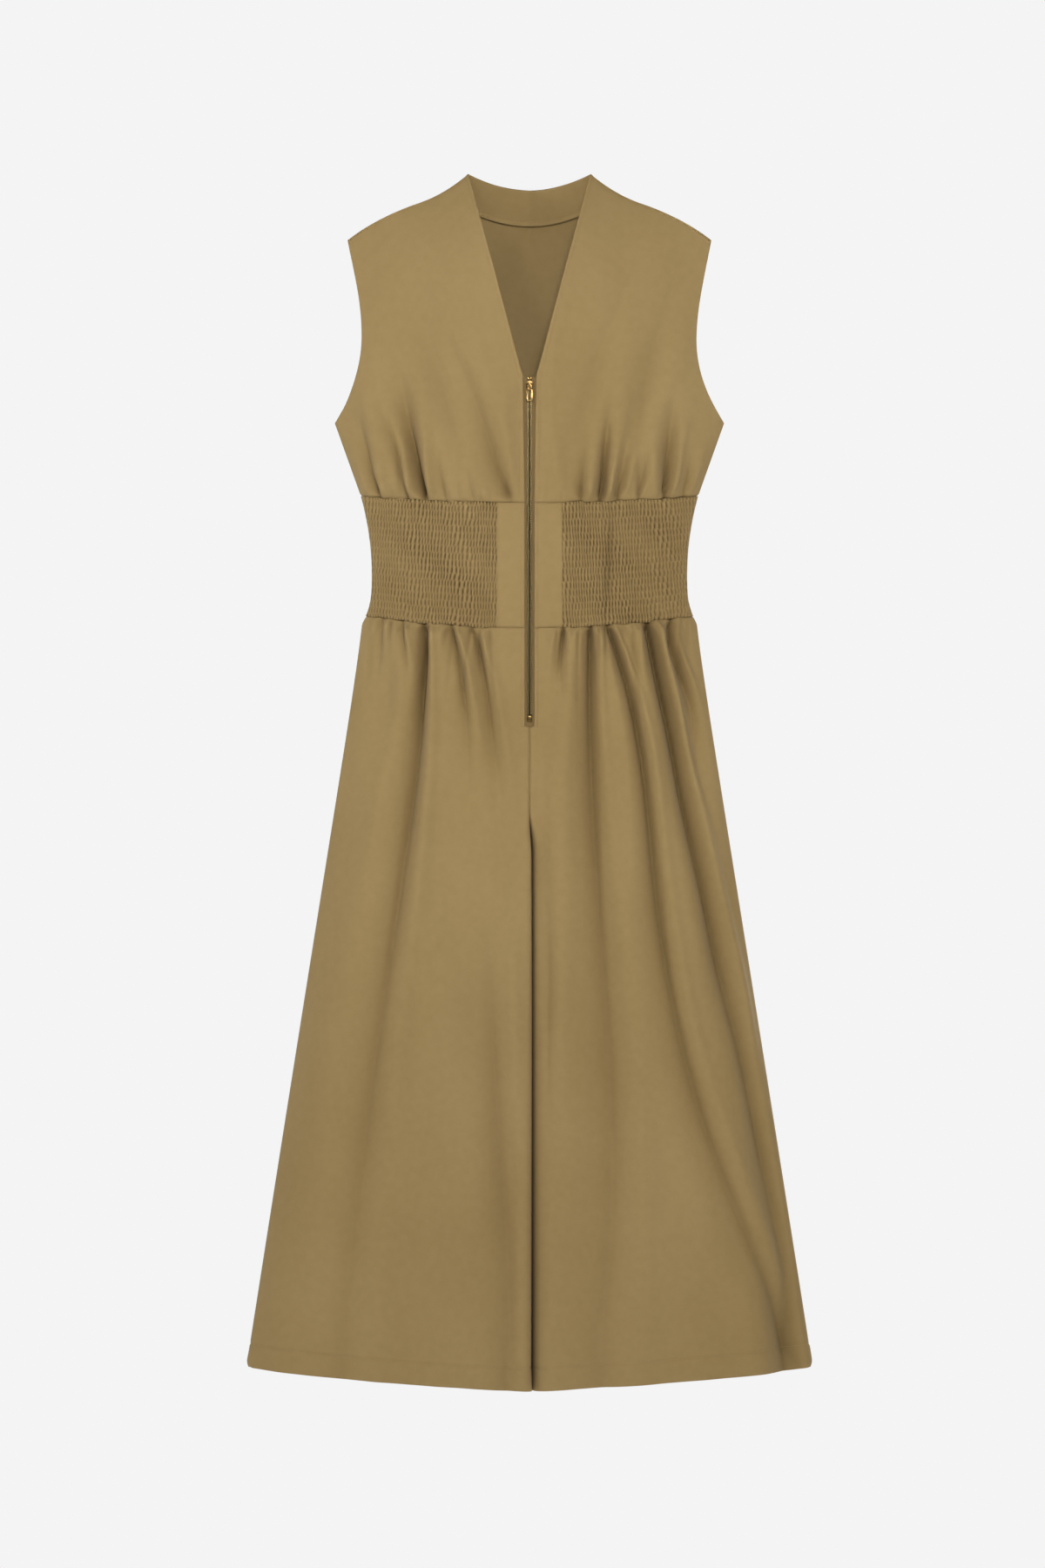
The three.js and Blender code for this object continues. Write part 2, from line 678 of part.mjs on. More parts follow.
for (const [name, side] of sides) {
  const band = bandSide(front, side);
  addPart(`waist_band_front_${name}`, sheetSolid(bandColumns, bandRows, band, 0, clothThickness),
    clothMaterial());
  addPart(`shirring_elastic_front_${name}`, elasticThread(band, bandColumns.slice(1, -1)),
    elasticMaterial());
}
const backBand = bandPoint(back, 0);
addPart('waist_band_back', sheetSolid(bothHalves(bandColumns), bandRows, backBand, 0, clothThickness),
  clothMaterial());
addPart('shirring_elastic_back', elasticThread(backBand, bothHalves(bandColumns.slice(0, -1))),
  elasticMaterial());

for (const [name, side] of sides) {
  addPart(`leg_front_${name}`, sheetSolid(legColumns, legRows, legPoint(front, side), 0, clothThickness),
    clothMaterial());
  addPart(`leg_back_${name}`, sheetSolid(legColumns, legRows, legPoint(back, side), 0, clothThickness),
    clothMaterial());
}

for (const [name, side] of sides) {
  addPart(`zip_tape_${name}`, zipTape(side), tapeMaterial());
  addPart(`zip_teeth_${name}`, teethRow(side), brassMaterial());
  addPart(`zip_top_stop_${name}`, topStop(side), brassMaterial());
}
addPart('zip_bottom_stop', bottomStop(), brassMaterial());
addPart('zip_slider', sliderBody(), brassMaterial());
addPart('zip_pull_tab', pullTab(), brassMaterial());

export default group;
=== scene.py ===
import bpy
import math
import random
import numpy as np
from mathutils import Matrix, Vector


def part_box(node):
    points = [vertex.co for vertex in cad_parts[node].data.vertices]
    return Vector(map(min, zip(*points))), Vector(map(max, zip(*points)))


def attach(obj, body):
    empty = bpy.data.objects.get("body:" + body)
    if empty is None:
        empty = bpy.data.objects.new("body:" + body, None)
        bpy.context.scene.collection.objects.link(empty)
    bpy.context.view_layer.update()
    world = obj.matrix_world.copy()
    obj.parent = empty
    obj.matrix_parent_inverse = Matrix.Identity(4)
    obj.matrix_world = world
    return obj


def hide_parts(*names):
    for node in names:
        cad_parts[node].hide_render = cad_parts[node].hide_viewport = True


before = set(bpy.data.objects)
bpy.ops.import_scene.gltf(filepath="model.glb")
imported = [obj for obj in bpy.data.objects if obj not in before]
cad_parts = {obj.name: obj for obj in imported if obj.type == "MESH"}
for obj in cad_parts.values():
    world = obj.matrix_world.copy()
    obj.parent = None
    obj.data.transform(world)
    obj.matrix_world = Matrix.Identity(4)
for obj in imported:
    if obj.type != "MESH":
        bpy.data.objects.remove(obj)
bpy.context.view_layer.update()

# A khaki jumpsuit hung by its shoulders. Work is in millimetres and is turned to metres as a mesh is made.
mm = 0.001


def side(node, end, axis):
    # one side of a CAD node's box in millimetres; end 0 is the low side
    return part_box(node)[end][axis] / mm


# Colours and nodes

def toLinear(hexCode):
    # sRGB hex to linear colour
    parts = [int(hexCode[i:i + 2], 16) / 255 for i in (1, 3, 5)]
    return [c / 12.92 if c <= 0.04045 else ((c + 0.055) / 1.055) ** 2.4 for c in parts] + [1]


def addNode(tree, kind, settings=None, links=None):
    # one node, with its settings and its input links
    node = tree.nodes.new(kind)
    for name, value in (settings or {}).items():
        if hasattr(node, name) and name not in node.inputs:
            setattr(node, name, value)
        else:
            node.inputs[name].default_value = value
    for name, socket in (links or {}).items():
        tree.links.new(socket, node.inputs[name])
    return node


def newMaterial(name):
    material = bpy.data.materials.new(name)
    material.use_nodes = True
    tree = material.node_tree
    tree.nodes.clear()
    place = addNode(tree, "ShaderNodeTexCoord").outputs["Object"]
    return material, tree, place


def addObject(name, data):
    thing = bpy.data.objects.new(name, data)
    bpy.context.scene.collection.objects.link(thing)
    return thing


def finishMaterial(tree, shader):
    out = tree.nodes.new("ShaderNodeOutputMaterial")
    tree.links.new(shader.outputs["BSDF"], out.inputs["Surface"])


# Camera, lights and stage

viewSettings = {
    "distance": 8.0,       # metres in front of the middle plane
    "frameHeight": 1.8,    # metres seen at the middle plane
    "centre": (-0.008, -0.651),
    "paper": "#F4F4F4",
    "glow": 0.2,           # how much the pale room lights the cloth
    "floorHeight": -3,
    "floorRadius": 11,
}

camera = bpy.data.cameras.new("studioCamera")
camera.lens = camera.sensor_width * viewSettings["distance"] / viewSettings["frameHeight"]
camera.clip_end = 100
cameraObject = addObject("studioCamera", camera)
cameraObject.location = (viewSettings["centre"][0], -viewSettings["distance"], viewSettings["centre"][1])
cameraObject.rotation_euler = (math.radians(90), 0, 0)
bpy.context.scene.camera = cameraObject
bpy.context.scene.view_settings.view_transform = "Standard"

lampSettings = [
    # name, place, aim, size, spread in degrees, watts
    ("keySoftbox", (-1.5, -2.6, 0.9), (0, 0, -0.2), 0.5, 180, 9),
    ("leftStrip", (-2.5, -1.0, 0.2), (0, 0, -0.4), 0.5, 180, 13),
    ("frontSoftbox", (0.25, -3.2, 0.8), (0, 0, -0.5), 0.6, 70, 8),
    ("rightStrip", (2.4, -1.9, 0.3), (0, 0, -0.2), 0.9, 180, 10),
    ("topSoftbox", (0.1, -1.2, 1.9), (0, 0, 0), 0.8, 180, 3),
    ("backSoftbox", (1.8, 2.6, 0.9), (0, 0, -0.5), 1.6, 180, 75),
    ("backFill", (-2.4, 2.2, 0.2), (0, 0, -0.6), 1.8, 180, 26),
]
for lampName, lampPlace, lampAim, lampSize, lampSpread, lampWatts in lampSettings:
    lamp = bpy.data.lights.new(lampName, "AREA")
    lamp.size = lampSize
    lamp.spread = math.radians(lampSpread)
    lamp.energy = lampWatts
    lampObject = addObject(lampName, lamp)
    lampObject.location = lampPlace
    aim = Vector(lampAim) - Vector(lampPlace)
    lampObject.rotation_euler = aim.to_track_quat("-Z", "Y").to_euler()

world = bpy.data.worlds.new("paleStudio")
bpy.context.scene.world = world
world.use_nodes = True
worldTree = world.node_tree
worldTree.nodes.clear()
seen = addNode(worldTree, "ShaderNodeBackground", {"Color": toLinear(viewSettings["paper"]), "Strength": 1.0})
glow = addNode(worldTree, "ShaderNodeBackground", {"Color": toLinear("#F2F2F0"),
                                                        "Strength": viewSettings["glow"]})
rays = addNode(worldTree, "ShaderNodeLightPath")
mixed = addNode(worldTree, "ShaderNodeMixShader", {}, {0: rays.outputs["Is Camera Ray"]})
worldTree.links.new(glow.outputs[0], mixed.inputs[1])
worldTree.links.new(seen.outputs[0], mixed.inputs[2])
addNode(worldTree, "ShaderNodeOutputWorld", {}, {"Surface": mixed.outputs[0]})

bpy.ops.object.select_all(action="DESELECT")
bpy.ops.mesh.primitive_circle_add(vertices=96, radius=viewSettings["floorRadius"], fill_type="NGON",
                                  location=(0, 0, viewSettings["floorHeight"]))
studioFloor = bpy.context.object
studioFloor.name = "studioFloor"
# a plain matt floor that glows a little, so that it stays as pale as the room
floorMaterial, floorTree, _ = newMaterial("paleMattFloor")
floorShader = addNode(floorTree, "ShaderNodeBsdfPrincipled", {
    "Base Color": toLinear("#8C8C8A"), "Roughness": 0.9,
    "Emission Color": toLinear("#F4F4F3"), "Emission Strength": 0.86})
finishMaterial(floorTree, floorShader)
studioFloor.data.materials.append(floorMaterial)
print("stage and camera ready")


# Materials

twillSettings = {
    "threadMm": 1.1,      # twill lines are really 0.6 mm apart; drawn coarser so that they show
    "slubMm": 9,
    "patchMm": 240,
    "bump": 0.16,
    "lineShade": 0.07,
    "roughness": 0.88,
    "paintedShadeColour": "#4B3610",  # painted shade: the darker colour mixed into the cloth down in folds and tucks
}


def twillCotton(name, base, shade):
    # cotton twill, piece dyed: matt, with faint diagonal lines, slubs and slow changes of shade
    material, tree, place = newMaterial(name)
    patches = addNode(tree, "ShaderNodeTexNoise",
                      {"Scale": 1 / (twillSettings["patchMm"] * mm), "Detail": 2.0}, {"Vector": place})
    slubs = addNode(tree, "ShaderNodeTexNoise",
                    {"Scale": 1 / (twillSettings["slubMm"] * mm), "Detail": 4.0}, {"Vector": place})
    diagonal = addNode(tree, "ShaderNodeMapping", {"Rotation": (0, math.radians(27), 0)}, {"Vector": place})
    twill = addNode(tree, "ShaderNodeTexWave", {
        "wave_type": "BANDS", "bands_direction": "X", "Scale": 1 / (twillSettings["threadMm"] * mm) / 3.2,
        "Distortion": 0.6, "Detail": 1.0, "Detail Scale": 2.0}, {"Vector": diagonal.outputs[0]})
    cloud = addNode(tree, "ShaderNodeMix", {"data_type": "FLOAT", "Factor": 0.35},
                    {"A": patches.outputs["Fac"], "B": slubs.outputs["Fac"]})
    ramp = addNode(tree, "ShaderNodeMapRange", {"From Min": 0.34, "From Max": 0.66},
                   {"Value": cloud.outputs[0]})
    colour = addNode(tree, "ShaderNodeMix", {"data_type": "RGBA"}, {"Factor": ramp.outputs[0]})
    colour.inputs[6].default_value = toLinear(shade)
    colour.inputs[7].default_value = toLinear(base)
    lineShare = addNode(tree, "ShaderNodeMath", {"operation": "MULTIPLY_ADD"}, {0: twill.outputs["Fac"]})
    lineShare.inputs[1].default_value = twillSettings["lineShade"]
    lineShare.inputs[2].default_value = 1 - twillSettings["lineShade"]
    lined = addNode(tree, "ShaderNodeVectorMath", {"operation": "SCALE"},
                    {0: colour.outputs[2], "Scale": lineShare.outputs[0]})
    # painted shade: the fold attribute mixes in a darker colour where folds and tucks lie deep
    paintedShade = addNode(tree, "ShaderNodeAttribute", {"attribute_name": "paintedShade"})
    paintedShadeColour = addNode(tree, "ShaderNodeMix", {"data_type": "RGBA"},
                     {"Factor": paintedShade.outputs["Fac"], 6: lined.outputs[0]})
    paintedShadeColour.inputs[7].default_value = toLinear(twillSettings["paintedShadeColour"])
    height = addNode(tree, "ShaderNodeMath", {"operation": "MULTIPLY_ADD"},
                     {0: slubs.outputs["Fac"], 2: twill.outputs["Fac"]})
    height.inputs[1].default_value = 1.5
    bump = addNode(tree, "ShaderNodeBump", {"Strength": twillSettings["bump"], "Distance": 0.0004},
                   {"Height": height.outputs[0]})
    gloss = addNode(tree, "ShaderNodeMapRange", {
        "To Min": twillSettings["roughness"] - 0.05, "To Max": twillSettings["roughness"] + 0.05},
        {"Value": slubs.outputs["Fac"]})
    shader = addNode(tree, "ShaderNodeBsdfPrincipled",
                     {"Sheen Weight": 0.05, "Sheen Roughness": 0.5, "Specular IOR Level": 0.25},
                     {"Base Color": paintedShadeColour.outputs[2], "Roughness": gloss.outputs[0],
                      "Normal": bump.outputs[0]})
    finishMaterial(tree, shader)
    return material


def castBrass(name, bright, dull):
    # cast brass with an antique finish: bright where it's rubbed, brown in the hollows
    material, tree, place = newMaterial(name)
    grime = addNode(tree, "ShaderNodeTexNoise", {"Scale": 1 / (1.6 * mm), "Detail": 5.0}, {"Vector": place})
    edges = addNode(tree, "ShaderNodeNewGeometry")
    worn = addNode(tree, "ShaderNodeMapRange", {"From Min": 0.47, "From Max": 0.55},
                   {"Value": edges.outputs["Pointiness"]})
    both = addNode(tree, "ShaderNodeMath", {"operation": "MULTIPLY_ADD", "use_clamp": True},
                   {0: grime.outputs["Fac"], 2: worn.outputs[0]})
    both.inputs[1].default_value = 0.3
    colour = addNode(tree, "ShaderNodeMix", {"data_type": "RGBA"}, {"Factor": both.outputs[0]})
    colour.inputs[6].default_value = toLinear(dull)
    colour.inputs[7].default_value = toLinear(bright)
    gloss = addNode(tree, "ShaderNodeMapRange", {"To Min": 0.45, "To Max": 0.24}, {"Value": both.outputs[0]})
    bump = addNode(tree, "ShaderNodeBump", {"Strength": 0.2, "Distance": 0.0001},
                   {"Height": grime.outputs["Fac"]})
    shader = addNode(tree, "ShaderNodeBsdfPrincipled", {"Metallic": 1.0},
                     {"Base Color": colour.outputs[2], "Roughness": gloss.outputs[0],
                      "Normal": bump.outputs[0]})
    finishMaterial(tree, shader)
    return material


def spunThread(name, base, shade, twistMm):
    # twisted thread or webbing: fine ribs a little darker between
    material, tree, place = newMaterial(name)
    diagonal = addNode(tree, "ShaderNodeMapping", {"Rotation": (0, math.radians(60), 0)}, {"Vector": place})
    ribs = addNode(tree, "ShaderNodeTexWave", {"bands_direction": "X", "Scale": 1 / (twistMm * mm) / 3.2,
                                               "Distortion": 0.4}, {"Vector": diagonal.outputs[0]})
    colour = addNode(tree, "ShaderNodeMix", {"data_type": "RGBA"}, {"Factor": ribs.outputs["Fac"]})
    colour.inputs[6].default_value = toLinear(shade)
    colour.inputs[7].default_value = toLinear(base)
    bump = addNode(tree, "ShaderNodeBump", {"Strength": 0.4, "Distance": 0.0002},
                   {"Height": ribs.outputs["Fac"]})
    shader = addNode(tree, "ShaderNodeBsdfPrincipled", {"Roughness": 0.8, "Specular IOR Level": 0.3},
                     {"Base Color": colour.outputs[2], "Normal": bump.outputs[0]})
    finishMaterial(tree, shader)
    return material


khakiTwill = twillCotton("khakiCottonTwill", "#A38A5C", "#998052")
facingTwill = twillCotton("khakiFacingTwill", "#A38A5C", "#998052")
tapeWeave = spunThread("wovenZipTape", "#8C7347", "#6E5833", 1.0)
sewingThread = spunThread("khakiSewingThread", "#B39C70", "#92794C", 0.6)
elasticYarn = spunThread("coveredElasticThread", "#B7A684", "#9A8863", 0.7)
antiqueBrass = castBrass("antiqueCastBrass", "#8C6F42", "#20150A")
toothBrass = castBrass("rubbedBrassTeeth", "#E0C68E", "#846634")
print("materials ready")


# The pattern, in millimetres

collar = {
    "peakHalf": side("neck_facing_back", 1, 0) + 0.6,
    "peak": side("bodice_front_left", 1, 2),
    "dip": 16.5,
    "openness": 0.9,
}
shoulder = {"tipHalf": 208.5, "drop": 76, "round": 200}
armholeCut = {"depth": 210, "scoop": 17.5}
chestHalf = side("bodice_front_left", 1, 0)
lensSpare = 2.5
waistSeam = {"half": side("waist_band_front_left", 1, 0), "rise": 9,
             "z": side("bodice_front_left", 0, 2) - 0.3}
band = {"narrow": 181, "narrowDrop": 80, "height": 143, "rise": 15, "half": 188}
leg = {"crotchDrop": 243, "half": side("leg_front_left", 1, 0), "rise": 24, "front": 50,
       "hem": side("leg_front_left", 0, 2)}
depth = {"front": -side("waist_band_front_left", 0, 1), "back": side("waist_band_back", 1, 1),
         "leg": -side("leg_front_left", 0, 1)}
zipCut = {"half": side("waist_band_front_left", 0, 0), "vPoint": -side("zip_tape_left", 1, 2) - 1,
          "bottom": side("zip_bottom_stop", 0, 2), "pastStop": 5}
clothThickness = 1.1

tipZ = collar["peak"] - shoulder["drop"]
underarmZ = tipZ - armholeCut["depth"]
bandBottomZ = waistSeam["z"] - band["height"]
crotchZ = bandBottomZ - leg["crotchDrop"]
slotEndZ = zipCut["bottom"] - zipCut["pastStop"]


def smoothStep(low, high, value):
    t = np.clip((value - low) / (high - low), 0, 1)
    return t * t * (3 - 2 * t)


def hump(value, at, width):
    # one at its middle, and fading on both sides
    return np.exp(-((value - at) / width) ** 2)


def bezier(p0, p1, p2, p3, count=40):
    t = np.linspace(0, 1, count)[:, None]
    a, b, c, d = (np.array(p, float) for p in (p0, p1, p2, p3))
    return a * (1 - t) ** 3 + 3 * b * t * (1 - t) ** 2 + 3 * c * t * t * (1 - t) + d * t ** 3


class Edge:
    # an outline of the pattern that is walked by its length
    def __init__(self, *runs):
        self.points = np.concatenate([np.array(r, float) for r in runs])
        steps = np.linalg.norm(np.diff(self.points, axis=0), axis=1)
        self.along = np.concatenate([[0], np.cumsum(steps)])
        self.length = self.along[-1]

    def at(self, t):
        where = np.asarray(t, float) * self.length
        return np.stack([np.interp(where, self.along, self.points[:, k]) for k in (0, 1)], axis=-1)


def shoulderSeam():
    run = shoulder["tipHalf"] - collar["peakHalf"]

    def at(share, drop):
        return collar["peakHalf"] + run * share, collar["peak"] - shoulder["drop"] * drop
    return [bezier(at(0, 0), at(0.127, 0.197), at(0.272, 0.355), at(0.424, 0.447)),
            bezier(at(0.424, 0.447), at(0.612, 0.566), at(0.83, 0.75), at(1, 1))]


def armhole():
    scoopHalf = shoulder["tipHalf"] - armholeCut["scoop"]

    def at(half, share):
        return half, tipZ - armholeCut["depth"] * share
    lowHalf = scoopHalf + (chestHalf - scoopHalf) * 0.37
    highHalf = shoulder["tipHalf"] - armholeCut["scoop"] * 0.43
    return [bezier(at(chestHalf, 1), at(lowHalf, 0.848), at(scoopHalf, 0.705), at(scoopHalf, 0.543)),
            bezier(at(scoopHalf, 0.543), at(scoopHalf, 0.371), at(highHalf, 0.186),
                   at(shoulder["tipHalf"], 0))]


def pucker(x, seed):
    # the gathered seams aren't quite straight; beside the zip they are
    wave = np.sin(x / 4.1 + seed) + 0.8 * np.sin(x / 2.3 + 2 * seed) + 1.2 * np.sin(x / 11 + 3 * seed)
    return 0.42 * wave * smoothStep(36, 46, np.abs(x)) * smoothStep(181, 172, np.abs(x))


def bandTop(x):
    return waistSeam["z"] + waistSeam["rise"] * (x / waistSeam["half"]) ** 2 + pucker(x, 1)


def bandBottom(x):
    return bandBottomZ + band["rise"] * (x / band["half"]) ** 2 + pucker(x, 4)


def hemLine(x):
    return leg["hem"] + leg["rise"] * (np.abs(x) / leg["half"]) ** 1.2


def sideHalf(z):
    # half the width of the body at a height
    narrowZ = waistSeam["z"] - band["narrowDrop"]
    topZ, lowZ, endZ = bandTop(waistSeam["half"]), bandBottom(band["half"]), hemLine(leg["half"])
    arm = chestHalf + lensSpare * np.clip((z - underarmZ) / (armholeCut["depth"] / 4), 0, 1)
    bodice = waistSeam["half"] + (chestHalf - waistSeam["half"]) * (z - topZ) / (underarmZ - topZ)
    high = band["narrow"] + (waistSeam["half"] - band["narrow"]) * ((z - narrowZ) / (topZ - narrowZ)) ** 2
    low = band["narrow"] + (band["half"] - band["narrow"]) * ((narrowZ - z) / (narrowZ - lowZ)) ** 3
    skirt = band["half"] + (leg["half"] - band["half"]) * (lowZ - z) / (lowZ - endZ)
    return np.select([z > underarmZ, z > topZ, z > narrowZ, z > lowZ], [arm, bodice, high, low], skirt)


seamPoints = np.concatenate(shoulderSeam())


def shoulderHeight(x):
    half = np.abs(x)
    outside = np.interp(half, seamPoints[:, 0], seamPoints[:, 1])
    inside = collar["peak"] + collar["openness"] * (collar["peakHalf"] - half)
    return np.where(half <= collar["peakHalf"], inside, outside)


def lens(share):
    return np.clip(1 - np.abs(share) ** 2.2, 0, 1) ** 0.75


def legLens(u):
    # a leg hangs flat from its inner seam and curves slowly back to its outer seam
    return lens(np.clip(2 * u - 1, 0, 1))


def innerTurn(u):
    # the close turn of the cloth at a leg's inner seam
    return np.clip(1 - np.clip(1 - 2 * u, 0, 1) ** 60, 0, 1) ** 0.6


def fullness(x, z):
    below = np.clip(shoulderHeight(x) - z, 0, None)
    return np.sin(math.pi / 2 * np.clip(below / shoulder["round"], 0, 1)) ** 0.8


def torso(x, z, sign, inset=0):
    # a point of the torso's cloth; sign is -1 in front, 1 behind
    half = sideHalf(z)
    full = fullness(x, z)
    reach = depth["front"] if sign < 0 else depth["back"]
    y = sign * (reach - inset) * lens(x / half) * full
    return np.stack([x * (1 - inset / half), y, z - inset * (1 - full)], axis=-1)


def patch(bottom, top, inner, outer, u, v):
    # the place in a four-sided piece of the pattern
    low = bottom.at(0) * (1 - u[..., None]) + bottom.at(1) * u[..., None]
    high = top.at(0) * (1 - u[..., None]) + top.at(1) * u[..., None]
    w = v[..., None]
    across = bottom.at(u) * (1 - w) + top.at(u) * w
    up = inner.at(v) * (1 - u[..., None]) + outer.at(v) * u[..., None]
    return across + up - low * (1 - w) - high * w


def seamRun(start):
    xs = np.linspace(start, waistSeam["half"], 30)
    return np.stack([xs, bandTop(xs)], axis=1)


sideTop = (waistSeam["half"], bandTop(waistSeam["half"]))
vCorner = (zipCut["half"] + 2, -zipCut["vPoint"])
dipZ = collar["peak"] - collar["dip"]
collarBack = bezier((0, dipZ), (collar["peakHalf"] / 3, dipZ),
                    (collar["peakHalf"] * 2 / 3, collar["peak"] - collar["dip"] * 0.667),
                    (collar["peakHalf"], collar["peak"]))
outerEdge = Edge([sideTop, (chestHalf, underarmZ)], *armhole())
frontEdges = (Edge(seamRun(zipCut["half"])), Edge(*shoulderSeam()),
              Edge([(zipCut["half"], bandTop(zipCut["half"])), vCorner,
                    (collar["peakHalf"], collar["peak"])]),
              outerEdge)
backEdges = (Edge(seamRun(0)), Edge(collarBack, *shoulderSeam()),
             Edge([(0, bandTop(0)), (0, dipZ)]), outerEdge)
underarmAt = math.dist(sideTop, (chestHalf, underarmZ)) / outerEdge.length
vPointAt = (vCorner[1] - bandTop(zipCut["half"])) / frontEdges[2].length


# Folds

# A fold is a valley with a ridge at each side, steeper towards the right as the front is seen.
# line runs from where it is tightest to where it fades; depth and width are given at both ends.
# An open fold is shallow at its start too, and one that runs toHem doesn't fade.
bodiceFolds = [
    {"line": [(-118, -328), (-121, -315), (-131, -277), (-138, -242), (-147, -185), (-153, -130)],
     "depth": (13, 7), "width": (4.2, 17)},
    {"line": [(-172, -321), (-181, -293), (-191, -245), (-196, -205)], "depth": (6, 3), "width": (3.8, 8)},
    {"line": [(-139, -323), (-150, -281), (-161, -242), (-177, -200), (-186, -176)],
     "depth": (7, 4), "width": (4.2, 9)},
    {"line": [(-20, -326), (-35, -296), (-50, -246), (-69, -200), (-89, -151), (-116, -80)],
     "depth": (8, 8), "width": (10, 24)},
    {"line": [(-95, -326), (-103, -290), (-108, -255)], "depth": (3, 1), "width": (3.4, 7)},
    {"line": [(-62, -328), (-70, -300), (-78, -270)], "depth": (2, 1), "width": (3.4, 7)},
    {"line": [(81, -325), (86, -281), (91, -233), (104, -170)], "depth": (10, 5), "width": (4.2, 13)},
    {"line": [(101, -321), (107, -290), (116, -245)], "depth": (6, 2), "width": (4.2, 8)},
    {"line": [(156, -315), (160, -281), (164, -233), (166, -175)], "depth": (9, 4), "width": (4.2, 11)},
    {"line": [(59, -319), (63, -261), (75, -190)], "depth": (6, 3), "width": (6, 15)},
    {"line": [(125, -320), (131, -290), (139, -245)], "depth": (4, 2), "width": (3.4, 8)},
    {"line": [(178, -318), (184, -290), (191, -255)], "depth": (4, 2), "width": (3.4, 7)},
    {"line": [(-70, -310), (-92, -220), (-122, -130), (-150, -50), (-160, 0)], "depth": (5, 8),
     "width": (18, 30), "open": True},
    {"line": [(44, -310), (62, -220), (92, -130), (122, -50), (135, 0)], "depth": (5, 8),
     "width": (16, 30), "open": True},
    {"line": [(112, -300), (130, -210), (156, -110), (170, -40)], "depth": (4, 6), "width": (12, 22),
     "open": True},
]

legFolds = [
    {"line": [(-120, -468), (-122, -502), (-123, -553), (-126, -615), (-134, -676), (-146, -737),
              (-158, -800), (-168, -935), (-185, -1020), (-200, -1120), (-212, -1250)], "depth": (12, 3.5),
     "width": (5.1, 23), "toHem": True},
    {"line": [(-145, -465), (-141, -513), (-140, -570)], "depth": (6, 2), "width": (3.4, 7)},
    {"line": [(-65, -474), (-55, -513), (-46, -574), (-38, -635), (-44, -750)], "depth": (7, 5),
     "width": (5.1, 14)},
    {"line": [(-89, -472), (-77, -533), (-71, -604), (-73, -720)], "depth": (8, 4), "width": (4.2, 13)},
    {"line": [(-48, -780), (-43, -930), (-34, -1060), (-24, -1210), (-26, -1330)], "depth": (9, 5),
     "width": (18, 20), "open": True, "toHem": True},
    {"line": [(-168, -463), (-172, -500), (-178, -550)], "depth": (4, 2), "width": (3.4, 8)},
    {"line": [(39, -475), (36, -502), (40, -575)], "depth": (7, 2), "width": (3.4, 7)},
    {"line": [(66, -475), (74, -513), (74, -574), (70, -655), (72, -751), (84, -847), (93, -942),
              (95, -1019), (90, -1133), (82, -1270)], "depth": (10, 6), "width": (4.7, 27), "toHem": True},
    {"line": [(90, -472), (110, -525), (118, -564), (127, -615), (136, -696), (145, -751), (160, -847),
              (179, -980), (200, -1042), (229, -1114), (256, -1179), (283, -1244), (315, -1330)],
     "depth": (10, 6), "width": (4.2, 15), "toHem": True},
    {"line": [(137, -468), (143, -502), (151, -545), (163, -586), (174, -635), (186, -696), (197, -751),
              (218, -847), (237, -923), (256, -996), (275, -1095), (300, -1210)], "depth": (15, 7),
     "width": (5.1, 14), "toHem": True},
    {"line": [(163, -464), (170, -513), (182, -545), (194, -600), (207, -680)], "depth": (9, 4),
     "width": (3.8, 9)},
    {"line": [(22, -760), (22, -850), (21, -950), (24, -1100)], "depth": (4, 4), "width": (10, 12),
     "open": True},
]

foldShape = {
    "drape": 1.35,              # all the folds are deeper by this much
    "steep": 1.5, "slow": 0.8,  # the two flanks
    "soft": 0.08,               # rounds the bottom of the valley
    "floor": 0.28,
    "sharp": 1.35,
    "ridge": 0.5, "ridgeAt": 2.3, "ridgeWidth": 1.3,
    "shadeSharpness": 2.4,           # how much narrower the painted fold shade is than the valley
}


def foldHeight(x, z, fold):
    # the height of one fold, and its painted shade, which is deeper where the fold is shut
    line = np.array(fold["line"], float)
    start, end = line[0, 1], line[-1, 1]
    order = np.argsort(line[:, 1])
    middle = np.polynomial.Polynomial.fit(line[order, 1], line[order, 0], min(4, len(line) - 1))
    centre = middle(np.clip(z, min(start, end), max(start, end)))
    share = np.clip((z - start) / (end - start), -1, 1)
    along = np.clip(share, 0, 1)
    width = fold["width"][0] + (fold["width"][1] - fold["width"][0]) * along ** 0.8
    strength = fold["depth"][0] + (fold["depth"][1] - fold["depth"][0]) * along
    shade = 1
    if not fold.get("toHem"):
        strength = strength * (1 - smoothStep(0.3, 1, along))
        shade = 1 - smoothStep(0.1, 0.8, along)
    if fold.get("open"):
        strength = strength * smoothStep(0, 0.4, share)
    d = (x - centre) / width
    d = np.where(d > 0, d * foldShape["steep"], d * foldShape["slow"])
    valley = np.exp(-(np.sqrt(d * d + foldShape["soft"]) - foldShape["floor"]) * foldShape["sharp"])
    ridges = hump(np.abs(d), foldShape["ridgeAt"], foldShape["ridgeWidth"])
    strength = foldShape["drape"] * strength
    shadeAmount = strength * shade * valley ** foldShape["shadeSharpness"] / (width + 3)
    return strength * (foldShape["ridge"] * ridges - valley), shadeAmount


def foldTotals(x, z, folds):
    # the height of all the folds and their painted shade
    each = [foldHeight(x, z, fold) for fold in folds]
    return sum(height for height, _ in each), sum(shadeAmount for _, shadeAmount in each)


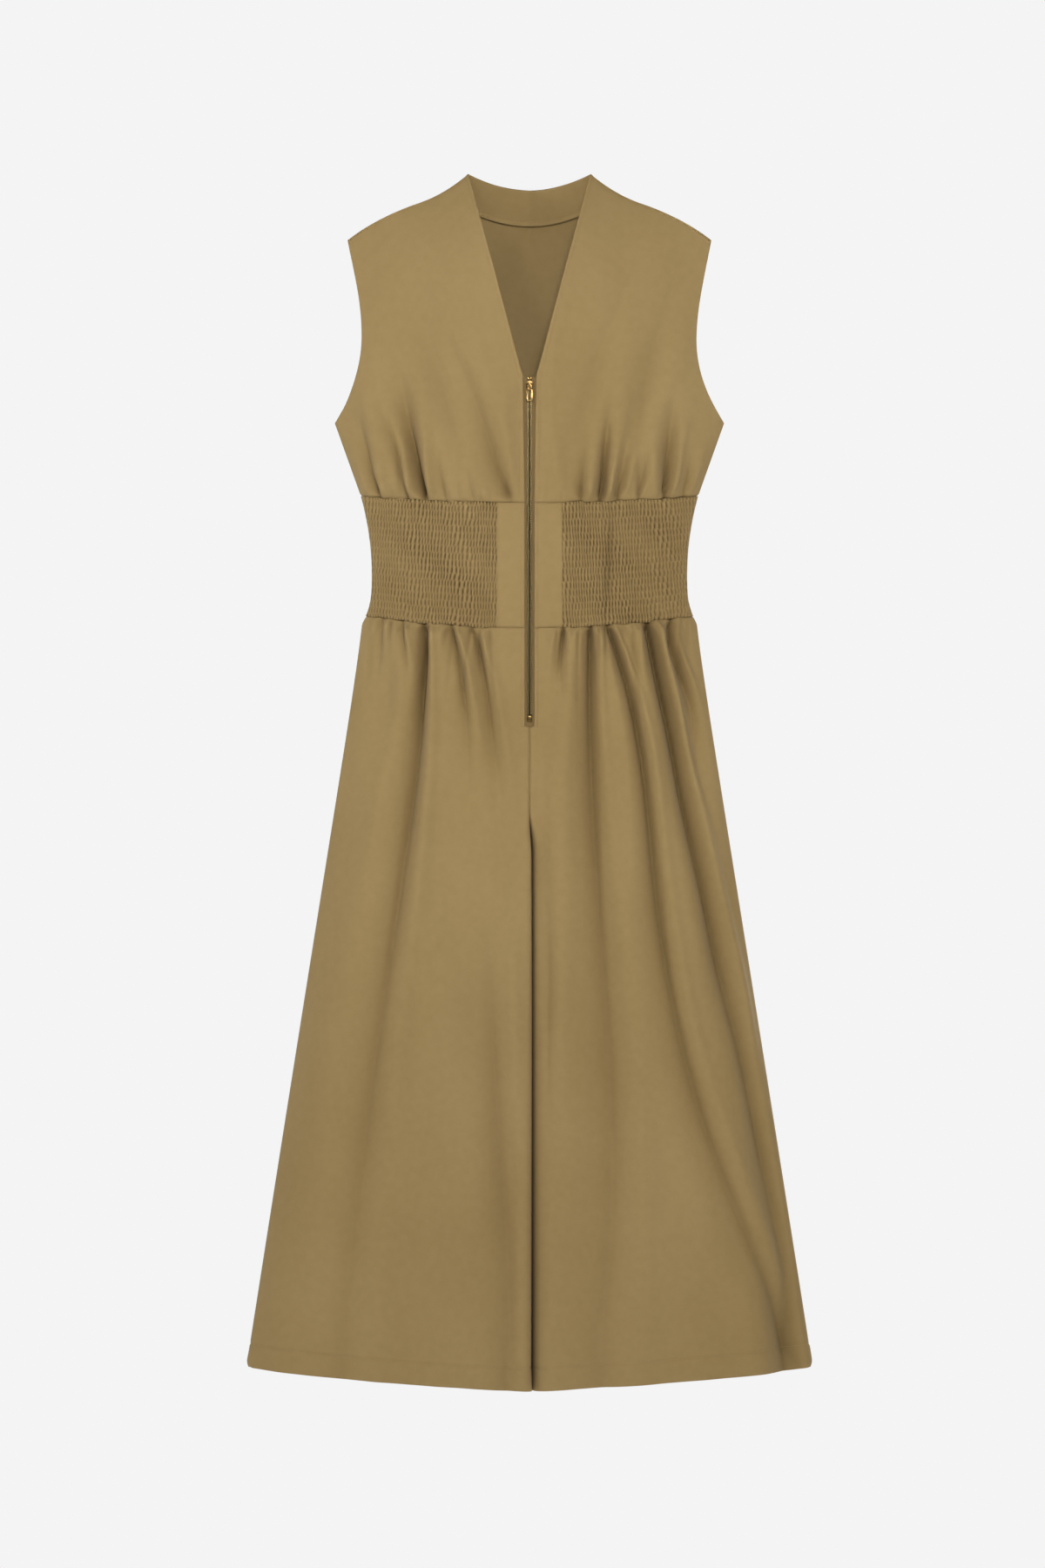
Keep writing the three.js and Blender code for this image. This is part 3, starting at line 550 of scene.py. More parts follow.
def gathers(x, z, seamZ, down, seed, span, count, reach, depths):
    # short creases that run out of a gathered seam; down is 1 below the seam and -1 above it
    rng = random.Random(seed)
    total = np.zeros_like(x)
    away = (seamZ - z) * down
    for i in range(count):
        at = span[0] + (span[1] - span[0]) * (i + rng.uniform(0.15, 0.85)) / count
        lean = rng.uniform(-0.10, 0.10) + 0.10 * at / 190
        length = rng.uniform(*reach)
        width = rng.uniform(1.9, 3.4)
        deep = rng.uniform(*depths)
        d = (x - at - lean * away) / (width * (1 + away / 60))
        fade = np.exp(-np.clip(away, 0, None) / length) * smoothStep(-1, 5, away)
        total -= deep * fade * (hump(d, 0, 1) - 0.4 * hump(np.abs(d), 1.8, 1.1))
    return total


def billow(x, z, seed, size, length):
    # slow unevenness of hanging cloth
    rng = random.Random(seed)
    total = np.zeros_like(x)
    for _ in range(7):
        wave = rng.uniform(55, 120)
        drift = rng.uniform(-0.22, 0.22)
        phase = rng.uniform(0, 2 * math.pi)
        slow = rng.uniform(0.6, 1.5) * 2 * math.pi / length
        total += np.sin(2 * math.pi * (x + drift * z) / wave + phase) * np.cos(slow * z + phase * 2)
    return size * total / 7 * 2


# Cloth meshes

def gridNormals(points, sign):
    alongU = np.gradient(points, axis=1)
    alongV = np.gradient(points, axis=0)
    normal = np.cross(alongU, alongV)
    normal /= np.maximum(np.linalg.norm(normal, axis=2, keepdims=True), 1e-12)
    flip = np.sign(normal[..., 1].mean()) != sign
    return (-normal if flip else normal), flip


def ringOf(rows, columns):
    # the border of a grid, once round
    bottom = [(0, c) for c in range(columns)]
    right = [(r, columns - 1) for r in range(1, rows)]
    top = [(rows - 1, c) for c in range(columns - 2, -1, -1)]
    left = [(r, 0) for r in range(rows - 2, 0, -1)]
    return np.array(bottom + right + top + left)


def meshFromArrays(name, points, quads, material):
    # a mesh in which all the faces have the same number of corners
    mesh = bpy.data.meshes.new(name)
    mesh.vertices.add(len(points))
    mesh.vertices.foreach_set("co", (np.asarray(points) * mm).astype(np.float32).ravel())
    mesh.loops.add(quads.size)
    mesh.loops.foreach_set("vertex_index", quads.astype(np.int32).ravel())
    mesh.polygons.add(len(quads))
    size = quads.shape[1]
    mesh.polygons.foreach_set("loop_start", np.arange(0, quads.size, size, dtype=np.int32))
    mesh.polygons.foreach_set("use_smooth", np.ones(len(quads), bool))
    mesh.update(calc_edges=True)
    mesh.validate()
    mesh.materials.append(material)
    return addObject(name, mesh)


def clothShell(name, points, sign, thickness, material, paintedShade=None):
    # a cloth with its right side at points and a rounded edge all the way round
    rows, columns = points.shape[:2]
    normal, flip = gridNormals(points, sign)
    inner = points - normal * thickness
    ring = ringOf(rows, columns)
    inward = np.array([(min(max(r, 1), rows - 2), min(max(c, 1), columns - 2)) for r, c in ring])
    outerRing, innerRing = points[ring[:, 0], ring[:, 1]], inner[ring[:, 0], ring[:, 1]]
    away = outerRing - points[inward[:, 0], inward[:, 1]]
    away /= np.maximum(np.linalg.norm(away, axis=1, keepdims=True), 1e-9)
    middle = (outerRing + innerRing) / 2 + away * thickness * 0.45
    index = np.arange(rows * columns).reshape(rows, columns)
    a, b, c, d = index[:-1, :-1], index[:-1, 1:], index[1:, 1:], index[1:, :-1]
    front = np.stack([a, b, c, d], axis=-1).reshape(-1, 4)
    back = front[:, ::-1] + rows * columns
    ringOuter = index[ring[:, 0], ring[:, 1]]
    ringMiddle = 2 * rows * columns + np.arange(len(ring))
    following = np.roll(np.arange(len(ring)), -1)
    rim = [np.stack([near[following], near, far, far[following]], axis=-1)
           for near, far in ((ringOuter, ringMiddle), (ringMiddle, ringOuter + rows * columns))]
    quads = np.concatenate([front, back, *rim])
    if flip:
        quads = quads[:, ::-1]
    everything = np.concatenate([points.reshape(-1, 3), inner.reshape(-1, 3), middle])
    piece = meshFromArrays(name, everything, quads, material)
    # the painted fold shade is kept on the right side's points, for the cloth material
    if paintedShade is not None:
        depths = np.zeros(len(everything), np.float32)
        depths[:rows * columns] = np.clip(paintedShade, 0, 1).ravel()
        piece.data.attributes.new("paintedShade", "FLOAT", "POINT").data.foreach_set("value", depths)
    return piece


def linesThrough(stops, counts):
    # grid lines that hit each stop, with so many steps from one to the next
    parts = [np.linspace(stops[i], stops[i + 1], count, endpoint=False) for i, count in enumerate(counts)]
    return np.concatenate([*parts, [stops[-1]]])


def displace(points, height, sign):
    normal, _ = gridNormals(points, sign)
    return points + normal * height[..., None]


def ride(piece, slot, *nodes, body="garment"):
    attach(piece, body)
    if nodes:
        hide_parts(*nodes)


def paintedFoldShade(shadeAmount, small, clear):
    # painted shade: a darker colour where folds and gathers are shut, faded out near seams and edges
    return 0.6 * np.clip((0.75 * shadeAmount + np.clip(-small - 0.4, 0, None) / 4) * clear, 0, 1)


surfaces = {}   # the finished right sides, kept for the stitching


turned = {"lift": 0.45, "width": 4, "stitchDip": 0.35, "stitchWidth": 0.8}


def turnedEdge(away):
    # an edge that is turned in is a little thicker
    return turned["lift"] * (1 - smoothStep(turned["width"] * 0.5, turned["width"], away))


def stitchDip(away):
    # the topstitching draws the cloth in beside a turned edge
    return turned["stitchDip"] * hump(away, bodiceCut["stitch"], turned["stitchWidth"])


# Bodice
bodiceCut = {"rows": 132, "columns": 122, "stitch": 3.4, "halfFlat": 150,
             "blouse": 3.0, "blouseUp": 26, "blouseSpread": 22, "drawnIn": 1.6, "backShare": 0.8}


def bodiceHeight(x, z, sign):
    # how far the hanging cloth stands off its pattern's surface
    away = z - bandTop(x)
    seam = 0.25 + 0.75 * smoothStep(0, 12, away)
    clear = np.where(z < underarmZ + 20, smoothStep(0, 14, sideHalf(z) - np.abs(x)), 1)
    if sign < 0:
        clear = clear * smoothStep(2, 22, np.abs(x) - zipCut["half"])
    height, shadeAmount = foldTotals(-sign * x, z, bodiceFolds)
    height = height * (1 if sign < 0 else bodiceCut["backShare"])
    small = gathers(x, z, bandTop(x), -1, 5 - sign, (-186, 186), 44, (8, 40), (0.8, 2.4))
    # painted shade in the folds and gathers of the bodice
    paintedShade = paintedFoldShade(shadeAmount, small, clear)
    height = (height + small) * clear * seam + billow(x, z, 12 + sign, 1.8, 380) * clear
    # it blouses over the band and is drawn in at the seam
    height += bodiceCut["blouse"] * hump(away, bodiceCut["blouseUp"], bodiceCut["blouseSpread"]) * clear
    height -= bodiceCut["drawnIn"] * hump(away, 0, bodiceCut["drawnIn"])
    return height * (0.1 + 0.9 * smoothStep(0, 60, shoulderHeight(x) - z)), paintedShade


def bodiceSurface(u, v, sign, way):
    place = patch(*(frontEdges if sign < 0 else backEdges), np.abs(u), v)
    x, z = np.where(u < 0, -way, way) * place[..., 0], place[..., 1]
    return torso(x, z, sign), x, z


def frontBodice(way):
    u = linesThrough([0, 0.03, 0.94, 1], [6, bodiceCut["columns"] - 16, 10])
    v = linesThrough([0, 0.05, 0.93, 1], [10, bodiceCut["rows"] - 22, 12])
    grid = np.meshgrid(u, v)
    points, x, z = bodiceSurface(*grid, -1, way)
    height, paintedShade = bodiceHeight(x, z, -1)
    edge = grid[0] * bodiceCut["halfFlat"]
    height += turnedEdge(edge)
    height -= stitchDip(edge) * (z < -zipCut["vPoint"] + 40)
    points = displace(points, height, -1)
    name = "Left" if way > 0 else "Right"
    surfaces["bodiceFront" + name] = points
    piece = clothShell("bodiceFront" + name, points, -1, clothThickness, khakiTwill, paintedShade)
    ride(piece, "khaki_cotton", f"bodice_front_{name.lower()}")


def backBodice():
    u = linesThrough([-1, -0.94, 0.94, 1], [8, 2 * bodiceCut["columns"] - 30, 8])
    v = linesThrough([0, 0.05, 0.95, 1], [10, bodiceCut["rows"] - 22, 10])
    points, x, z = bodiceSurface(*np.meshgrid(u, v), 1, 1)
    height, paintedShade = bodiceHeight(x, z, 1)
    points = displace(points, height, 1)
    piece = clothShell("bodiceBack", points, 1, clothThickness, khakiTwill, paintedShade)
    ride(piece, "khaki_cotton", "bodice_back")


# Shirred band
shirring = {"rows": 18, "pitch": 3.75, "deep": 3.6, "puff": 2.3, "plain": 31, "thickness": 0.7,
            "drawnIn": 1.5, "shadeSharpness": 1.5}


def bandPlace(u, v, innerHalf):
    share = np.abs(u)
    rough = bandBottom(band["half"] * share) * (1 - v) + bandTop(waistSeam["half"] * share) * v
    x = innerHalf + (sideHalf(rough) - innerHalf) * share
    return np.where(u < 0, -x, x), bandBottom(x) * (1 - v) + bandTop(x) * v


def pleats(x, v, seed, start):
    # tucks between the rows of elastic; along each row they are flattened. The second value is painted shade
    # down in the tucks
    rng = np.random.default_rng(seed)
    row = v * shirring["rows"] + 0.5
    number = np.floor(row).astype(int)
    shift = rng.uniform(-0.16, 0.16, shirring["rows"] + 2)[number]
    slant = rng.uniform(-0.05, 0.32, shirring["rows"] + 2)[number]
    wander = (0.45 * np.sin(x / 23 + seed) + 0.3 * np.sin(x / 9.5 + 2 * seed)
              + 0.22 * np.sin(x / 4.3 + number))
    inRow = row - number
    phase = 2 * math.pi * (np.abs(x) / shirring["pitch"] + wander + shift + slant * (inRow - 0.5))
    puff = np.clip(np.sin(math.pi * inRow), 0, 1) ** 0.5
    tuck = np.clip(0.5 - 0.5 * np.cos(phase), 0, 1) ** 2
    size = 0.85 + 0.15 * np.sin(x / 15 + 3 * v * math.pi + seed) * np.cos(v * 5 + seed)
    inside = smoothStep(start - 0.8, start + 0.8, np.abs(x))
    height = shirring["puff"] * puff - shirring["deep"] * size * tuck * (0.1 + 0.9 * puff) - 0.2
    return inside * height, inside * size * tuck * (0.25 + 0.75 * puff)


def bandHeight(x, z, v, seed, start):
    height, shadeAmount = pleats(x, v, seed, start)
    inside = smoothStep(start - 2, start + 10, np.abs(x))
    height += inside * (0.6 + 0.6 * np.sin(x / 17 + seed) * np.sin(v * math.pi) * np.cos(v * 3 + seed))
    edge = np.minimum(z - bandBottom(x), bandTop(x) - z)
    height -= shirring["drawnIn"] * hump(edge, 0, shirring["drawnIn"])
    # the painted shade is narrowed to the deepest tucks
    return height * smoothStep(-1, 6, sideHalf(z) - np.abs(x)), shadeAmount ** shirring["shadeSharpness"]


def frontBand(way):
    stop = shirring["plain"] / (band["narrow"] - zipCut["half"])
    tucks = (band["narrow"] - zipCut["half"]) * (1 - stop) / shirring["pitch"]
    u = linesThrough([0, 0.02, stop - 0.01, 1], [5, 10, int(tucks * 6)])
    v = linesThrough([0, 1], [shirring["rows"] * 7])
    grid = np.meshgrid(u, v)
    x, z = bandPlace(grid[0], grid[1], zipCut["half"])
    points = torso(way * x, z, -1)
    height, paintedShade = bandHeight(way * x, z, grid[1], 3 if way > 0 else 4,
                                zipCut["half"] + shirring["plain"])
    if way > 0:
        # one soft crease leans down the wearer's left panel
        crush = np.sin(grid[1] * math.pi) ** 0.7
        crease = hump(x - 86 - 8 * grid[1], 0, 5) * crush
        height += 2.2 * hump(x - 72 - 8 * grid[1], 0, 8) * crush - 1.1 * crease
        # painted shade along the crease
        paintedShade = paintedShade * (1 - 0.3 * crease) + 0.28 * crease
    away = np.abs(x) - zipCut["half"]
    height += turnedEdge(away) - stitchDip(away)
    points = displace(points, height, -1)
    name = "Left" if way > 0 else "Right"
    surfaces["waistBandFront" + name] = points
    piece = clothShell("waistBandFront" + name, points, -1, shirring["thickness"], khakiTwill, paintedShade)
    ride(piece, "khaki_cotton", f"waist_band_front_{name.lower()}")


def backBand():
    tucks = 2 * band["narrow"] / shirring["pitch"]
    u = linesThrough([-1, 1], [int(tucks * 5)])
    v = linesThrough([0, 1], [shirring["rows"] * 5])
    grid = np.meshgrid(u, v)
    x, z = bandPlace(grid[0], grid[1], 0)
    points = torso(x, z, 1)
    height, paintedShade = bandHeight(x, z, grid[1], 7, -5)
    points = displace(points, height, 1)
    piece = clothShell("waistBandBack", points, 1, shirring["thickness"], khakiTwill, paintedShade)
    ride(piece, "khaki_cotton", "waist_band_back")


# Legs
legCut = {"columns": 165, "hem": 26, "flare": 3.2, "lap": 6.2, "underLap": 1.6, "behind": 0.14,
          "split": 30, "backSeam": 1.5, "backShare": 0.85, "hemCorner": 6,
          "swell": 2.2, "swellDown": 16, "swellSpread": 13, "drawnIn": 1.5, "groove": 1.5,
          "hemLift": 0.5, "hemDip": 0.55, "hemRipple": 0.35}
slotEndAt = (slotEndZ - leg["hem"]) / (bandBottomZ - leg["hem"])


def legPanel(way, sign):
    u = linesThrough([0, 0.012, 0.07, 0.95, 1], [8, 16, legCut["columns"] - 36, 12])
    hemAt = legCut["hem"] / (bandBottomZ - leg["hem"])
    v = linesThrough([0, hemAt, slotEndAt - 0.004, slotEndAt + 0.003, 0.985, 1], [12, 190, 10, 44, 10])
    u, v = np.meshgrid(u, v)
    rough = hemLine(leg["half"] * u) * (1 - v) + bandBottom(band["half"] * u) * v
    slot = smoothStep(slotEndZ - 1.5, slotEndZ, rough) if sign < 0 else np.zeros_like(rough)
    innerHalf = slot * zipCut["half"] + 0.25 * (1 - slot)
    reach = innerHalf * (1 - u) ** 6 + sideHalf(rough) * u
    z = hemLine(reach) * (1 - v) + bandBottom(reach) * v
    flare = legCut["flare"] * np.exp(-np.clip(bandBottom(reach) - z, 0, None) / 60)
    flare = flare * smoothStep(0, 12, bandBottom(reach) - z) * u ** 3
    corner = legCut["hemCorner"] * smoothStep(0.975, 1, u) * np.clip(1 - (z - hemLine(reach)) / 9, 0, 1) ** 2
    split = smoothStep(crotchZ + legCut["split"], crotchZ - legCut["split"] / 2, z)
    full = smoothStep(bandBottomZ - 60, crotchZ - 260, z)
    reachDepth = depth["front"] if sign < 0 else depth["back"]
    reachDepth = reachDepth + (depth["leg"] - reachDepth) * full
    profile = lens(u) * (1 - full) + legLens(u) * full
    y = sign * reachDepth * profile * (1 - split * (1 - innerTurn(u)))
    # the two legs' inner edges lap, the right one over the left
    edgeShare = split * hump(reach, 0, 30)
    y = y * (1 - (legCut["behind"] * edgeShare if way > 0 else 0))
    lapShift = (legCut["lap"] if way < 0 else legCut["underLap"]) * edgeShare
    lapShift = lapShift * np.clip(np.abs(y) / leg["front"], 0, 1) ** 2
    x = way * (reach + flare - corner * 0.5) + lapShift
    if sign > 0:
        x = x - legCut["backSeam"] * hump(reach, 0, 12) * smoothStep(crotchZ - 60, crotchZ - 20, z)
    points = np.stack([x, y, z], axis=-1)

    away = bandBottom(reach) - z
    fx = x if sign < 0 else -x
    seam = 0.3 + 0.7 * smoothStep(0, 10, away)
    sideClear = smoothStep(0, 16, sideHalf(z) - np.abs(x))
    middleClear = smoothStep(3, 26, reach - innerHalf)
    zipClear = np.where(z > slotEndZ, smoothStep(3, 16, reach - innerHalf), 1)
    height, shadeAmount = foldTotals(fx, z, legFolds)
    height = height * (1 if sign < 0 else legCut["backShare"])
    seed = 31 + way + 4 * sign
    span = (way * (30 if sign < 0 else 4), way * 184)
    small = gathers(x, z, bandBottom(reach), 1, seed, span, 24, (10, 60), (1.6, 4.2))
    # painted shade in the folds and gathers of the leg
    paintedShade = paintedFoldShade(shadeAmount, small, sideClear * zipClear * middleClear)
    height = height + small
    height = height * sideClear * seam * zipClear * middleClear
    height += billow(x, z, seed + 50, 3.2, 900) * sideClear * middleClear * smoothStep(0, 120, away)
    swell = legCut["swell"] * hump(away, legCut["swellDown"], legCut["swellSpread"])
    height += swell * sideClear * zipClear * middleClear
    height -= legCut["drawnIn"] * hump(away, 0, 1.6)
    edge = reach - innerHalf
    groove = legCut["groove"] * hump(edge, 0, 1.3) * (z < slotEndZ) * (1 - split)
    if sign < 0:
        height += (turnedEdge(edge) - stitchDip(edge)) * slot
    hemUp = z - hemLine(reach)
    height += legCut["hemLift"] * smoothStep(legCut["hem"] + 0.6, legCut["hem"] - 0.6, hemUp)
    height -= legCut["hemDip"] * hump(hemUp, legCut["hem"], 1.1)
    ripple = legCut["hemRipple"] * np.sin(x / 5.5 + z / 9)
    height += ripple * smoothStep(legCut["hem"] + 4, legCut["hem"] - 3, hemUp)
    points = displace(points, height, sign)
    points[..., 1] -= sign * groove
    end, name = ("Front" if sign < 0 else "Back"), ("Left" if way > 0 else "Right")
    surfaces["leg" + end + name] = (points, hemUp)
    piece = clothShell("leg" + end + name, points, sign, clothThickness, khakiTwill, paintedShade)
    ride(piece, "khaki_cotton", f"leg_{end.lower()}_{name.lower()}")


for bodiceWay in (1, -1):
    frontBodice(bodiceWay)
    frontBand(bodiceWay)
backBodice()
backBand()
for legWay in (1, -1):
    for legSign in (-1, 1):
        legPanel(legWay, legSign)
print("cloth panels ready")


# Facings: strips sewn inside the neck and the armholes
facingCut = {"inset": 1.9, "thickness": 0.8, "backDepth": 40}


def facing(name, node, sign, way, uSpan, vSpan, size, roll=0):
    # a strip inside the bodice; its spans are shares of the pattern piece, size is columns and rows,
    # and roll is how far its lower edge curls off the cloth behind it
    u, v = np.meshgrid(np.linspace(*uSpan, size[0]), np.linspace(*vSpan, size[1]))
    points, x, z = bodiceSurface(u, v, sign, way)
    curl = roll * (1 - smoothStep(0, 0.14, (v - vSpan[0]) / (vSpan[1] - vSpan[0])))
    points = displace(points, bodiceHeight(x, z, sign)[0] - facingCut["inset"] - curl, sign)
    piece = clothShell(name, points, sign, facingCut["thickness"], facingTwill)
    ride(piece, "facing_cotton", node)
    return points


peakAt = Edge(collarBack).length / backEdges[1].length
backFacingAt = 1 - facingCut["backDepth"] / backEdges[2].length
backFacing = facing("neckFacingBack", "neck_facing_back", 1, 1, (-peakAt, peakAt), (backFacingAt, 1),
                    (80, 24), 2.2)
for facingWay, facingName in ((1, "Left"), (-1, "Right")):
    low = facingName.lower()
    facing("neckFacingFront" + facingName, f"neck_facing_front_{low}", -1, facingWay,
           (0.004, 0.25), (vPointAt + 0.045, 0.995), (16, 60))
    facing("armholeFacingFront" + facingName, f"armhole_facing_front_{low}", -1, facingWay,
           (0.875, 0.994), (underarmAt, 0.995), (10, 60))
    facing("armholeFacingBack" + facingName, f"armhole_facing_back_{low}", 1, facingWay,
           (0.885, 0.994), (underarmAt, 0.995), (10, 60))
print("facings ready")


# Stitching

stitchCut = {"spacing": 3.0, "length": 2.1, "radius": 0.24, "proud": 0.05}


def stitchRows(name, runs):
    # short thread stitches along each run; a run is its points and the way that the cloth faces.
    # A stitch is a lozenge: two pointed ends and two waists of four corners.
    corners = np.array([(-0.5, 0, 0), (-0.28, 1, 0), (-0.28, 0, 1), (-0.28, -1, 0), (0.28, 1, 0),
                        (0.28, 0, 1), (0.28, -1, 0), (0.5, 0, 0), (-0.28, 0, -0.6), (0.28, 0, -0.6)])
    shape = np.array([(0, 2, 1, 1), (0, 3, 2, 2), (1, 2, 5, 4), (2, 3, 6, 5), (4, 5, 7, 7), (5, 6, 7, 7),
                      (0, 8, 3, 3), (0, 1, 8, 8), (3, 8, 9, 6), (8, 1, 4, 9), (6, 9, 7, 7), (9, 4, 7, 7)])
    points, triangles = [], []
    for run, faceWay in runs:
        steps = np.linalg.norm(np.diff(run, axis=0), axis=1)
        along = np.concatenate([[0], np.cumsum(steps)])
        count = int(along[-1] / stitchCut["spacing"])
        for i in range(count):
            share = np.array([0.15, 0.15 + stitchCut["length"] / stitchCut["spacing"]])
            ends = (i + share) * stitchCut["spacing"]
            start, end = (np.array([np.interp(e, along, run[:, k]) for k in range(3)]) for e in ends)
            forward = end - start
            forward /= np.linalg.norm(forward)
            across = np.cross(forward, faceWay)
            across /= np.linalg.norm(across)
            up = np.cross(across, forward)
            middle = (start + end) / 2 + up * stitchCut["proud"]
            body = (corners[:, :1] * stitchCut["length"] * forward
                    + corners[:, 1:2] * stitchCut["radius"] * across
                    + corners[:, 2:] * stitchCut["radius"] * up + middle)
            base = len(points) * len(corners)
            points.append(body)
            for quad in shape:
                triangles.append([base + k for k in quad[:3]])
                if quad[3] != quad[2]:
                    triangles.append([base + quad[0], base + quad[2], base + quad[3]])
    ride(meshFromArrays(name, np.concatenate(points), np.array(triangles), sewingThread), "khaki_cotton")


frontWay = np.array([0, -1.0, 0])
zipRuns = []
for name in ("Left", "Right"):
    beside = surfaces["bodiceFront" + name][:, 4]
    zipRuns.append((beside[beside[:, 2] < -zipCut["vPoint"] + 36], frontWay))
    zipRuns.append((surfaces["waistBandFront" + name][2:-2, 5], frontWay))
    legPoints = surfaces["legFront" + name][0]
    column = int(np.argmin(np.abs(np.abs(legPoints[-30, :, 0] - legPoints[-30, 0, 0]) - bodiceCut["stitch"])))
    keep = (legPoints[:, column, 2] > slotEndZ) & (legPoints[:, column, 2] < bandBottomZ - 2)
    zipRuns.append((legPoints[keep, column], frontWay))
# a short bar of stitches closes the bottom of the slot
leftLeg = surfaces["legFrontLeft"][0]
stopY = leftLeg[np.argmin(np.abs(leftLeg[:, 0, 2] - slotEndZ)), 4, 1]
barLine = np.array([(x, stopY - 0.3, slotEndZ - 1.0) for x in np.linspace(-9.5, 9.5, 12)])
zipRuns.append((barLine, frontWay))
stitchRows("zipTopstitching", zipRuns)

hemRuns = []
for end in ("Front", "Back"):
    for name in ("Left", "Right"):
        legPoints, hemUp = surfaces["leg" + end + name]
        rows = np.argmin(np.abs(hemUp - legCut["hem"]), axis=0)
        line = legPoints[rows, np.arange(legPoints.shape[1])]
        hemRuns.append((line[6:-2], frontWay if end == "Front" else -frontWay))
stitchRows("hemStitching", hemRuns)

facingLine = backFacing[3] + np.array([0, -facingCut["thickness"] - 0.1, 0])
stitchRows("neckFacingStitching", [(facingLine[3:-3], frontWay)])
print("stitching ready")


# Zip

zipMetal = {"pitch": 2.0, "bevel": 0.16, "height": 0.62, "neck": 0.72, "head": 0.86}
tapeCut = {"thickness": 0.6, "cord": 0.42, "rib": 0.1, "ribPitch": 1.4, "centreGap": 0.08}


def clearSelection():
    if bpy.context.object and bpy.context.object.mode != "OBJECT":
        bpy.ops.object.mode_set(mode="OBJECT")
    bpy.ops.object.select_all(action="DESELECT")


def pick(piece):
    clearSelection()
    piece.select_set(True)
    bpy.context.view_layer.objects.active = piece


def applyModifiers(piece):
    pick(piece)
    for modifier in list(piece.modifiers):
        bpy.ops.object.modifier_apply(modifier=modifier.name)


def finePiece(name, node, bevel, segments, body="garment"):
    # a copy of the CAD solid, joined up and given rounded edges
    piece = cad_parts[node].copy()
    piece.data = piece.data.copy()
    piece.parent = None
    for key in list(piece.keys()):
        del piece[key]
    piece.name = name
    piece.data.name = name
    bpy.context.scene.collection.objects.link(piece)
    pick(piece)
    bpy.ops.object.mode_set(mode="EDIT")
    bpy.ops.mesh.select_all(action="SELECT")
    bpy.ops.mesh.remove_doubles(threshold=0.000005)
    bpy.ops.mesh.dissolve_limited(angle_limit=math.radians(2))
    bpy.ops.object.mode_set(mode="OBJECT")
    rounding = piece.modifiers.new("roundedEdges", "BEVEL")
    rounding.width = bevel * mm
    rounding.segments = segments
    rounding.limit_method = "ANGLE"
    rounding.angle_limit = math.radians(32)
    applyModifiers(piece)
    piece.data.materials.clear()
    piece.data.materials.append(antiqueBrass)
    bpy.ops.object.shade_smooth_by_angle(angle=math.radians(35))
    ride(piece, "antique_brass", node, body=body)


def oneTooth(way):
    # one cast tooth: a block with a waisted neck and a rounded head
    low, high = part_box("zip_teeth_left")
    tip, root = low.x / mm, high.x / mm
    front, back = low.y / mm, high.y / mm
    clearSelection()
    middleX = way * (tip + root) / 2 * mm
    bpy.ops.mesh.primitive_cube_add(size=1, location=(middleX, (front + back) / 2 * mm, 0))
    tooth = bpy.context.object
    tooth.scale = ((root - tip) * mm, (back - front) * mm, zipMetal["pitch"] * zipMetal["height"] * mm)
    bpy.ops.object.transform_apply(location=True, rotation=False, scale=True)
    bpy.ops.object.mode_set(mode="EDIT")
    bpy.ops.mesh.select_all(action="SELECT")
    bpy.ops.mesh.subdivide(number_cuts=1)
    bpy.ops.object.mode_set(mode="OBJECT")
    for vertex in tooth.data.vertices:
        if abs(vertex.co.x - middleX) < 0.0001:
            vertex.co.z *= zipMetal["neck"]
        elif way * vertex.co.x < way * middleX:
            vertex.co.z *= zipMetal["head"]
    rounding = tooth.modifiers.new("roundedEdges", "BEVEL")
    rounding.width = zipMetal["bevel"] * mm
    rounding.segments = 1
    rounding.limit_method = "ANGLE"
    rounding.angle_limit = math.radians(50)
    applyModifiers(tooth)
    points = np.array([v.co[:] for v in tooth.data.vertices]) / mm
    faces = [list(p.vertices) for p in tooth.data.polygons]
    bpy.data.objects.remove(tooth)
    return points, faces


